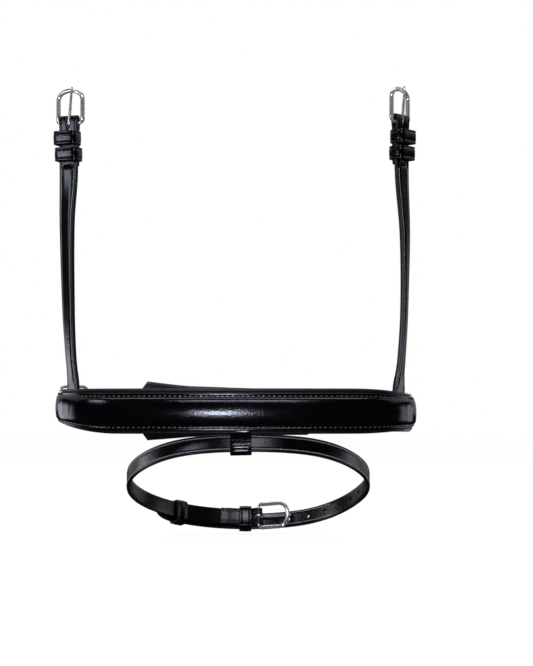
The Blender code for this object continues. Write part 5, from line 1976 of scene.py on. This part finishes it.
@dataclass
class JawStrap(Strap):
    """The strap behind the jaw, closed round both rings, with its buckle and its sliding pad."""

    depth: float = 66.0 * MM
    width: float = 17.0 * MM
    slack: float = 0.6 * MM
    return_length: float = 24.0 * MM
    rises: tuple[float, float, float] = (3.4 * MM, 0.4 * MM, 0.4 * MM)
    pad_half: float = 84.0 * MM
    pad_width: float = 46.2 * MM
    pad_thickness: float = 7.5 * MM
    pad_edge: float = 4.0 * MM
    pad_facing: float = 1.4 * MM
    pad_inset: float = 1.2 * MM
    pad_sag: float = 0.8 * MM
    pad_seam: float = 3.4 * MM
    buckle_place: float = 16.0 * MM
    chape_length: float = 34.0 * MM
    tip_place: float = -30.0 * MM
    hole_pitch: float = 15.0 * MM
    holes: int = 4
    hole_radius: float = 1.9 * MM
    runner_place: float = -14.0 * MM
    loop_place: float = 56.0 * MM
    loop_foot: float = 5.0 * MM
    keeper_wall: float = 1.6 * MM
    runner_slide: float = 4.0 * MM
    pad_slide: float = 6.0 * MM
    fold_run: float = 7.0 * MM
    buckle: Buckle = Buckle(widen=17.0 / 12.7)

    def __post_init__(self) -> None:
        """Works out the arc between the two rings, and the depths of the buckle's layers and the pad."""
        left, right = self.nose.ring_point(Side.LEFT, 1.0), self.nose.ring_point(Side.RIGHT, 1.0)
        span = (right - left).to_2d()
        half = span.length / 2
        self.radius = (half**2 + self.depth**2) / (2 * self.depth)
        self.bar_reach = self.nose.ring_wire + self.gap + self.slack
        inset = self.bar_reach + self.thickness / 2
        near, far = self.radius - inset, self.radius + inset
        share = (near**2 - far**2 + span.length**2) / (2 * span.length)
        fall = math.sqrt(near**2 - share**2)
        unit = span / span.length
        self.centre = left.to_2d() + unit * share + Vector((unit.y, -unit.x)) * fall
        self.reach_x = (left.x, right.x)
        ways = [point.to_2d() - self.centre for point in (left, right)]
        self.ends = [self.radius * math.atan2(way.x, way.y) for way in ways]
        self.curve_room = self.keeper_length**2 / (2 * self.radius)
        lower = self.thickness / 2 + self.gap + self.fold_thickness / 2
        bar = lower + self.fold_thickness / 2 + self.gap + self.buckle.bar
        upper = lower + self.fold_thickness + self.gap
        self.chape_depths = (lower, bar, upper)
        over_bar = bar + self.buckle.bar + 2 * self.gap + self.fold_thickness + self.thickness / 2
        over_chape = upper + self.fold_thickness / 2 + self.gap + self.thickness / 2
        self.billet_depths = (self.thickness + self.gap, over_bar, over_chape)
        self.keeper_place = self.buckle_place - self.keeper_from_bar - 3.0 * MM
        self.pad_top = -self.thickness / 2 - self.gap
        self.pad_base = self.pad_top - self.pad_facing - self.gap
        self.pad_ends = (-self.pad_half, self.pad_half * PAD_OUTLINE[-1][0])

    def level(self, x: float) -> float:
        """Gives the height of the strap's middle line at a place from left to right.

        Args:
            x: The place, positive to the right.

        Returns:
            The height.
        """
        left, right = self.reach_x
        share = clamp((x - left) / (right - left))
        first, middle, final = self.rises
        level = first + (final - first) * share
        return level + (middle - (first + final) / 2) * (1 - (2 * share - 1) ** 4)

    def line(self, distance: float) -> Place:
        """Gives a place on the strap's line.

        Args:
            distance: The distance from the middle of the back, positive to the right.

        Returns:
            The place there.
        """
        turn = distance / self.radius
        out = Vector((math.sin(turn), math.cos(turn), 0))
        x = self.centre.x + self.radius * out.x
        point = Vector((x, self.centre.y + self.radius * out.y, self.level(x)))
        return Place(point, Vector((math.cos(turn), -math.sin(turn), 0)), UP, out)

    def pad_line(self, distance: float) -> Place:
        """Gives the pad's line, which sags under the strap towards its left end."""
        return self.line(distance).moved(-self.pad_sag * smooth(-distance / (0.6 * self.pad_half)))

    def stations(self) -> list[Station]:
        """Gives the side view: the left return, the long run, the right fold and the buckled end.

        Returns:
            The stations.
        """
        left, right = self.ends
        thick, reach = self.thickness, self.bar_reach
        depth = reach + thick / 2
        found = fold_stations(left, -depth, reach, thick, -thick - self.gap, left + self.return_length)[::-1]
        found += [Station(s, 0.0, thick) for s in spaced(left, right, 44)[1:-1]]
        beside, over_bar, over_chape = self.billet_depths
        place, length = self.buckle_place, self.buckle.length
        found += fold_stations(right, depth, reach, thick, beside, right - self.fold_run, -1)[:-5]
        run = spaced(right - self.fold_run, place + length - self.buckle.bar, 14) + [place + length * 0.62]
        points = [(s, beside) for s in run]
        points += [(place + length * 0.24, over_bar), (place - self.buckle.bar, over_bar)]
        points += [(s, over_chape) for s in spaced(place - self.fold_run, self.tip_place, 7)]
        return found + [Station(s, d, thick) for s, d in points]

    def buckle_matrix(self) -> Matrix:
        """Gives the buckle's place, with its bow lifted for the buckled end.

        Returns:
            The place as a matrix.
        """
        bar, reach = self.chape_depths[1], self.buckle.reach
        needed = self.billet_depths[0] + self.thickness / 2 + 2 * self.gap + self.buckle.wire
        lift = needed - bar - reach**2 / (2 * (self.radius + bar))
        return self.line(self.buckle_place).matrix(bar) @ Matrix.Rotation(math.atan2(lift, reach), 4, "X")

    def build_strap(self) -> None:
        """Builds the strap with its holes and the passage of the prong."""
        section = Section(self.width, self.thickness, crease_inset=1.8 * MM, two_faced=True)
        tips = (Tip.SKIVED, Tip.POINTED)
        form = build_strap(self.stations(), self.line, section, spacing=1.8 * MM, tips=tips)
        shank = self.buckle.prong_line()[EYE_STEPS:]
        passage = build_wire(
            shank, [self.buckle.prong + 2 * self.gap] * len(shank), False, Vector((1, 0, 0)), 12
        )
        cutters = [moved_form(passage, self.buckle_matrix())]
        for i in range(self.holes):
            along = self.buckle_place + self.buckle.length + self.buckle.wire + self.hole_pitch * (i + 0.5)
            height = self.thickness + self.gap
            cutters.append(hole_form(self.line(along), self.billet_depths[0], self.hole_radius, height))
        add_piece(form, "jaw_strap_leather", self.finishes.leather, "jaw", "jaw_strap", cutters)

    def build_chape(self) -> None:
        """Builds the fold that holds the buckle on the strap."""
        lower, bar, upper = self.chape_depths
        place, thick = self.buckle_place, self.fold_thickness
        end = place - self.chape_length
        stations = [Station(s, lower, thick) for s in spaced(end, place, 5)[:-1]]
        stations += fold_stations(place, bar, self.buckle.bar + self.gap, thick, upper, end, -1)
        width = self.width - 2 * self.keeper_wall
        section = Section(width, thick, crease_inset=1.6 * MM, crease_depth=0.15 * MM)
        form = build_strap(stations, self.line, section, spacing=1.2 * MM, tips=(Tip.SKIVED, Tip.SKIVED))
        cutter, node = slot_form(self.line(place), bar), "jaw_buckle_chape"
        add_piece(form, node + "_fold", self.finishes.leather, "jaw", node, [cutter])

    def build_keepers(self) -> None:
        """Builds the fixed keeper and the runner."""
        low = -self.thickness / 2 - self.curve_room
        high = self.billet_depths[2] + self.thickness / 2 + self.curve_room
        keeper = Keeper(self.width + 2 * self.gap, high - low + MM)
        for name, place, body in (
            ("jaw_fixed_keeper", self.keeper_place, "jaw"),
            ("jaw_runner", self.runner_place, "jaw_runner"),
        ):
            keeper.build(name, self.line(place).loop_matrix((low + high) / 2), self.finishes, body)

    def pad_reach(self, distance: float) -> float:
        """Gives half the pad's width at a distance."""
        return self.pad_width / 2 * read_table(PAD_OUTLINE, distance / self.pad_half)

    @property
    def pocket(self) -> tuple[float, float, float, float]:
        """The keepers' hollow in the pad: its two ends, half its width, and its floor's depth.

        Returns:
            The two ends, half the width and the depth.
        """
        reach = self.keeper_length / 2 + self.pad_slide + 2 * self.gap
        low = self.runner_place - self.runner_slide - reach
        half = self.width / 2 + self.keeper_wall + 3 * self.gap
        floor = -self.thickness / 2 - self.keeper_wall - 2 * (self.curve_room + self.gap)
        return low, self.keeper_place + reach, half, floor

    def top_depth(self, distance: float, across: float) -> float:
        """Gives the depth of the cushion's outer face, hollowed for the keepers' inner walls.

        Args:
            distance: The distance along the strap.
            across: The place across it.

        Returns:
            The depth, which is under 0.
        """
        low, high, half, floor = self.pocket
        outside = max(low - distance, distance - high, abs(across) - half)
        share = 1 - smooth((outside - 0.1 * MM) / (1.5 * MM))
        return self.pad_base - max(0.0, self.pad_base - floor) * share

    def soft_depth(self, distance: float, across: float) -> float:
        """Gives the depth of the pad's inner face, drawn in along its seam.

        Args:
            distance: The distance along the strap.
            across: The place across it.

        Returns:
            The depth, which is under 0.
        """
        reach = self.pad_reach(distance)
        share = min(1.0, abs(across) / reach)
        thick = self.pad_edge + (self.pad_thickness - self.pad_edge) * (1 - share**4)
        start, end = self.pad_ends
        rim = min(reach - abs(across), distance - start, end - distance)
        thick -= 1.1 * MM * bell(rim - self.pad_seam, 1.5 * MM)
        thick *= 1 - 0.4 * (1 - smooth(rim / (1.6 * MM)))
        return self.pad_base - thick

    def build_pad(self) -> None:
        """Builds the soft pad with its seam drawn in, and the shaped leather over it."""
        stops, wide = spaced(*self.pad_ends, 110), spaced(-1.0, 1.0, 26)
        count = len(wide)

        def place(row: int, column: int) -> Vector:
            """The point of the pad's skin at a row and a column: top, right rim, underside, left rim.

            Args:
                row: The step along the piece.
                column: The step round its section.

            Returns:
                The point.
            """
            distance = stops[row]
            reach = self.pad_reach(distance)
            index = column % (2 * count + 4)
            if index < count:
                across = wide[index] * reach * (1 - 0.4 * MM / reach)
                depth = self.top_depth(distance, across)
            elif count + 2 <= index < 2 * count + 2:
                across = -wide[index - count - 2] * reach * (1 - 0.7 * MM / reach)
                depth = self.soft_depth(distance, across)
            else:
                right = index < count + 2
                across = reach if right else -reach
                down = PAD_RIM[index - count if right else 2 * count + 3 - index]
                depth = self.pad_base + (self.soft_depth(distance, reach) - self.pad_base) * down
            return self.pad_line(distance).at(across, depth)

        form = wrapped_grid(len(stops) - 1, 2 * count + 4, place)
        add_piece(form, "jaw_pad_cushion", self.finishes.lining, "jaw_pad", "jaw_pad")

        thick = self.pad_facing
        width = self.pad_width - 2 * self.pad_inset
        section = Section(width, thick, crease_inset=3.2 * MM, crease_depth=0.25 * MM, middle_steps=10)
        form = build_strap(
            [Station(s, self.pad_top - thick / 2, thick) for s in spaced(*self.pad_ends, 60)],
            self.pad_line,
            section,
            spacing=2 * MM,
            wide=lambda distance: read_table(PAD_OUTLINE, (distance - self.pad_half) / self.pad_half),
        )
        cutters = [self.pocket_form()]
        add_piece(form, "jaw_pad_leather", self.finishes.leather, "jaw_pad", "jaw_pad_facing", cutters)

    def pocket_form(self) -> Form:
        """Makes the curved block that opens the pad's leather over the keepers.

        Returns:
            The block's form.
        """
        low, high, half, floor = self.pocket
        corners = ((-half, floor), (half, floor), (half, MM), (-half, MM))
        stops = spaced(low, high, 12)

        def place(row: int, column: int) -> Vector:
            """A corner of the block's section at one stop."""
            return self.line(stops[row]).at(*corners[column % 4])

        return wrapped_grid(12, 4, place, lambda _: 1.0)

    def seam_line(self) -> list[Point2]:
        """Gives the pad's seam once round, as distances and places across.

        Returns:
            The seam's points.
        """
        start, end = self.pad_ends[0] + self.pad_seam, self.pad_ends[1] - self.pad_seam
        upper = [(s, self.pad_reach(s) - self.pad_seam) for s in spaced(start, end, 150)]
        right = [(end, x) for x in spaced(upper[-1][1], -upper[-1][1], 12)[1:-1]]
        left = [(start, x) for x in spaced(-upper[0][1], upper[0][1], 12)[1:]]
        return upper + right + [(s, -x) for s, x in reversed(upper)] + left

    def build_sewing(self) -> None:
        """Sews the pad round its outline on both faces, and the strap's folded end."""
        outer, inner = [], []
        for distance, across in self.seam_line():
            spot = self.pad_line(distance)
            outer.append((spot.at(across, self.pad_top - 0.1 * MM), spot.out))
            inner.append((spot.at(across, self.soft_depth(distance, across) + 0.15 * MM), -spot.out))
        SEAM_SEWING.sew("jaw_pad_stitches", (outer, inner), self.finishes, "jaw_pad")
        rows = []
        reach, left = self.width / 2 - 2 * MM, self.ends[0]
        for place in (left + self.fold_run + 3 * MM, left + self.return_length - 3 * MM):
            spot = self.line(place)
            rows.append(spot.cross_row(reach, self.thickness / 2, 10))
            rows.append(spot.cross_row(reach, -1.5 * self.thickness - self.gap, 10, -1))
        STRAP_SEWING.sew("jaw_strap_stitches", rows, self.finishes, "jaw")

    def build_pad_loops(self) -> None:
        """Builds the two leather bridges that hold the pad on the strap."""
        wall = self.keeper_wall
        foot = self.pad_top + self.gap + wall / 2
        half = self.width / 2 + 2 * self.gap
        rise = half + wall
        toe = rise + self.loop_foot
        section = Section(self.keeper_length, wall, corner=0.5 * MM, crease_inset=1.6 * MM)
        for side in Side:
            layers = self.billet_depths[0] if side is Side.RIGHT else 0.0
            top = layers + self.thickness / 2 + self.gap + wall / 2
            ramp = [(-toe, foot), (-(toe + rise) / 2, foot), (-rise, foot), (-half, top), (-half * 0.8, top)]
            shape = ramp + [(0.0, top)] + [(-x, d) for x, d in reversed(ramp)]
            spot = self.line(side.value * self.loop_place)

            def line(place: float, spot: Place = spot) -> Place:
                """The bridge's line, straight across the strap."""
                return Place(spot.moved(place).point, spot.across, spot.along, spot.out)

            form = build_strap([Station(s, d, wall) for s, d in shape], line, section, spacing=MM)
            name = "jaw_pad_loop_" + side.word
            add_piece(form, name + "_bridge", self.finishes.leather, "jaw_pad", name)

    def build(self) -> None:
        """Builds every piece of the strap and its pad."""
        self.build_pad()
        self.build_strap()
        self.build_chape()
        self.buckle.build("jaw", self.buckle_matrix(), self.finishes, "jaw")
        self.build_keepers()
        self.build_sewing()
        self.build_pad_loops()


# Studio


@dataclass(frozen=True)
class SoftBox:
    """A soft lamp, given by its place, its size and how bright it is."""

    name: str
    place: tuple[float, float, float]
    size: Point2
    power: float
    colour: str = "#F2F5FF"
    target: tuple[float, float, float] = (0.0, 0.03, 0.05)

    def build(self) -> None:
        """Adds the lamp, turned to its target."""
        lamp = bpy.data.lights.new(self.name, "AREA")
        lamp.shape = "RECTANGLE"
        lamp.size, lamp.size_y = self.size
        lamp.energy = self.power
        lamp.color = linear(self.colour)[:3]
        holder = bpy.data.objects.new(self.name, lamp)
        bpy.context.scene.collection.objects.link(holder)
        holder.location = self.place
        holder.visible_camera = False
        way = Vector(self.target) - Vector(self.place)
        holder.rotation_euler = way.to_track_quat("-Z", "Y").to_euler()


@dataclass
class Studio:
    """The plain pale floor and backdrop, the lamps and the camera."""

    white: str = "#FFFFFF"
    floor_drop: float = 2.0 * MM
    floor_size: float = 6.0
    wall_place: float = 5.0
    wall_rise: float = 3.0
    wall_height: float = 3.2
    distance: float = 1.26
    lens: float = 117.25
    shift: Point2 = (0.0572, 0.148)
    floor_glossy: float = 0.01
    wall_glossy: float = 0.3
    floor_glow: float = 0.85
    room_glossy: float = 0.005
    room_light: float = 0.85
    boxes: tuple[SoftBox, ...] = (
        SoftBox("front_box", (-0.125, -1.55, -0.04), (0.28, 0.24), 8.0, "#E2E9FF"),
        SoftBox("upper_box", (0.03, -0.84, 0.7), (0.62, 0.24), 2.4, "#E8EDFF", (0.01, 0.0, -0.03)),
        SoftBox("left_near_box", (-0.375, -0.18, 0.21), (0.14, 0.1), 0.22, "#E2E9FF", (-0.12, 0.03, 0.165)),
        SoftBox("left_low_box", (-0.42, 0.16, -0.02), (0.23, 0.14), 0.25, "#EEF2FF", (-0.126, 0.02, 0.0)),
        SoftBox("right_low_box", (0.42, 0.16, -0.01), (0.2, 0.14), 0.1, "#EEF2FF", (0.126, 0.02, 0.0)),
        SoftBox("left_high_box", (-1.0, 0.36, 0.75), (1.0, 0.8), 1.2, "#EEF2FF", (-0.12, 0.03, 0.1)),
        SoftBox("right_high_box", (1.0, 0.36, 0.75), (1.0, 0.8), 1.2, "#EEF2FF", (0.12, 0.03, 0.1)),
        SoftBox("top_box", (0.0, 0.3, 1.6), (1.4, 0.8), 10.0),
    )

    def seen_strength(
        self, add: Callable[..., bpy.types.Node], camera: float, glossy: float, other: float
    ) -> bpy.types.Node:
        """Gives one number to rays from the camera, one to reflections and clear ones, one to the rest.

        Args:
            add: Adds a node to the tree.
            camera: What the camera's own rays get.
            glossy: What reflections and rays through clear materials get.
            other: What all other rays get.

        Returns:
            The node that gives the number.
        """
        ray = add("ShaderNodeLightPath").outputs
        most = {"operation": "MAXIMUM"}
        mirrored = add("ShaderNodeMath", most, i0=ray["Is Glossy Ray"], i1=ray["Is Transmission Ray"])
        reflected = add("ShaderNodeMapRange", {"To Min": other, "To Max": glossy}, Value=mirrored)
        return add("ShaderNodeMapRange", {"To Max": camera}, Value=ray["Is Camera Ray"], To_Min=reflected)

    def pale_surface(self, name: str, glow: float, glossy: float) -> Material:
        """Makes a matt white surface that also glows a little for the camera.

        Args:
            name: The material's name.
            glow: The share of the glow, 0 to 1.
            glossy: How bright reflections show it.

        Returns:
            The material.
        """
        material, add = new_material(name)
        matt = add("ShaderNodeBsdfDiffuse", {"Color": linear(self.white), "Roughness": 1.0})
        strength = self.seen_strength(add, 1.0, glossy, 1.0)
        light = add("ShaderNodeEmission", {"Color": linear(self.white)}, Strength=strength)
        mixed = add("ShaderNodeMixShader", i0=self.seen_strength(add, glow, 1.0, 0.0), i1=matt, i2=light)
        add("ShaderNodeOutputMaterial", Surface=mixed)
        return material

    def build_plane(self, name: str, matrix: Matrix, material: Material) -> None:
        """Builds one plain sheet of the stage, which isn't part of the object.

        Args:
            name: The sheet's name.
            matrix: Its place and size.
            material: Its material.
        """
        form = bmesh.new()
        bmesh.ops.create_grid(form, x_segments=1, y_segments=1, size=1.0, matrix=matrix)
        make_piece(form, name, material)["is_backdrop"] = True

    def build_world(self) -> None:
        """Sets the world: white for the camera, and dim light from all round."""
        world = bpy.data.worlds.new("studio_room")
        world.use_nodes = True
        world.node_tree.nodes.clear()
        add = partial(add_node, world.node_tree)
        strength = self.seen_strength(add, 1.0, self.room_glossy, self.room_light)
        room = add("ShaderNodeBackground", {"Color": linear(self.white)}, Strength=strength)
        add("ShaderNodeOutputWorld", Surface=room)
        bpy.context.scene.world = world

    def build_camera(self) -> None:
        """Adds the camera, level with the band and square to it, as the photograph was taken."""
        data = bpy.data.cameras.new("photo_camera")
        data.sensor_fit = "HORIZONTAL"
        data.sensor_width = 36.0
        data.lens = self.lens
        data.shift_x, data.shift_y = self.shift
        data.clip_start, data.clip_end = 0.05, 50.0
        camera = bpy.data.objects.new("photo_camera", data)
        camera.location = (0.0, -self.distance, 0.0)
        camera.rotation_euler = (QUARTER, 0.0, 0.0)
        bpy.context.scene.collection.objects.link(camera)
        bpy.context.scene.camera = camera

    def build(self, lowest: float) -> None:
        """Builds the stage under the object.

        Args:
            lowest: The height of the object's lowest point.
        """
        level, size = lowest - self.floor_drop, self.floor_size
        floor = Matrix.Translation((0, 0, level)) @ Matrix.Diagonal((size, size, 1.0, 1.0))
        paper = self.pale_surface("floor_paper", self.floor_glow, self.floor_glossy)
        self.build_plane("studio_floor", floor, paper)
        upright = Matrix.Rotation(QUARTER, 4, "X") @ Matrix.Diagonal((size, self.wall_height, 1.0, 1.0))
        wall = Matrix.Translation((0, self.wall_place, level + self.wall_rise)) @ upright
        self.build_plane("studio_backdrop", wall, self.pale_surface("backdrop_paper", 1.0, self.wall_glossy))
        for box in self.boxes:
            box.build()
        self.build_world()
        self.build_camera()
        bpy.context.scene.view_settings.view_transform = "Standard"


def dress_frame_nodes(frame: dict, finishes: Finishes) -> None:
    """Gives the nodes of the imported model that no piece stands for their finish.

    Args:
        finishes: The shared materials.
    """
    stuffs = dict.fromkeys(("left_cheek_tab", "right_cheek_tab", "flash_loop_tab"), finishes.leather)
    stuffs["nose_raise_filler"] = finishes.felt
    for name, (material, _) in stuffs.items():
        slots = frame["nodes"][name].data.materials
        slots.clear()
        slots.append(material)


def main() -> None:
    """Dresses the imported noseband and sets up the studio."""
    logging.basicConfig(level=logging.INFO, format="%(name)s: %(message)s")
    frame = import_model()
    packed_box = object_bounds()
    finishes = Finishes()
    dress_frame_nodes(frame, finishes)
    nose = Nosepiece(finishes)
    nose.build()
    for side in Side:
        CheekStrap(finishes, nose, side=side).build()
    FlashStrap(finishes, nose).build()
    JawStrap(finishes, nose).build()
    Studio().build(packed_box[0].z)


if __name__ == "__main__":
    main()
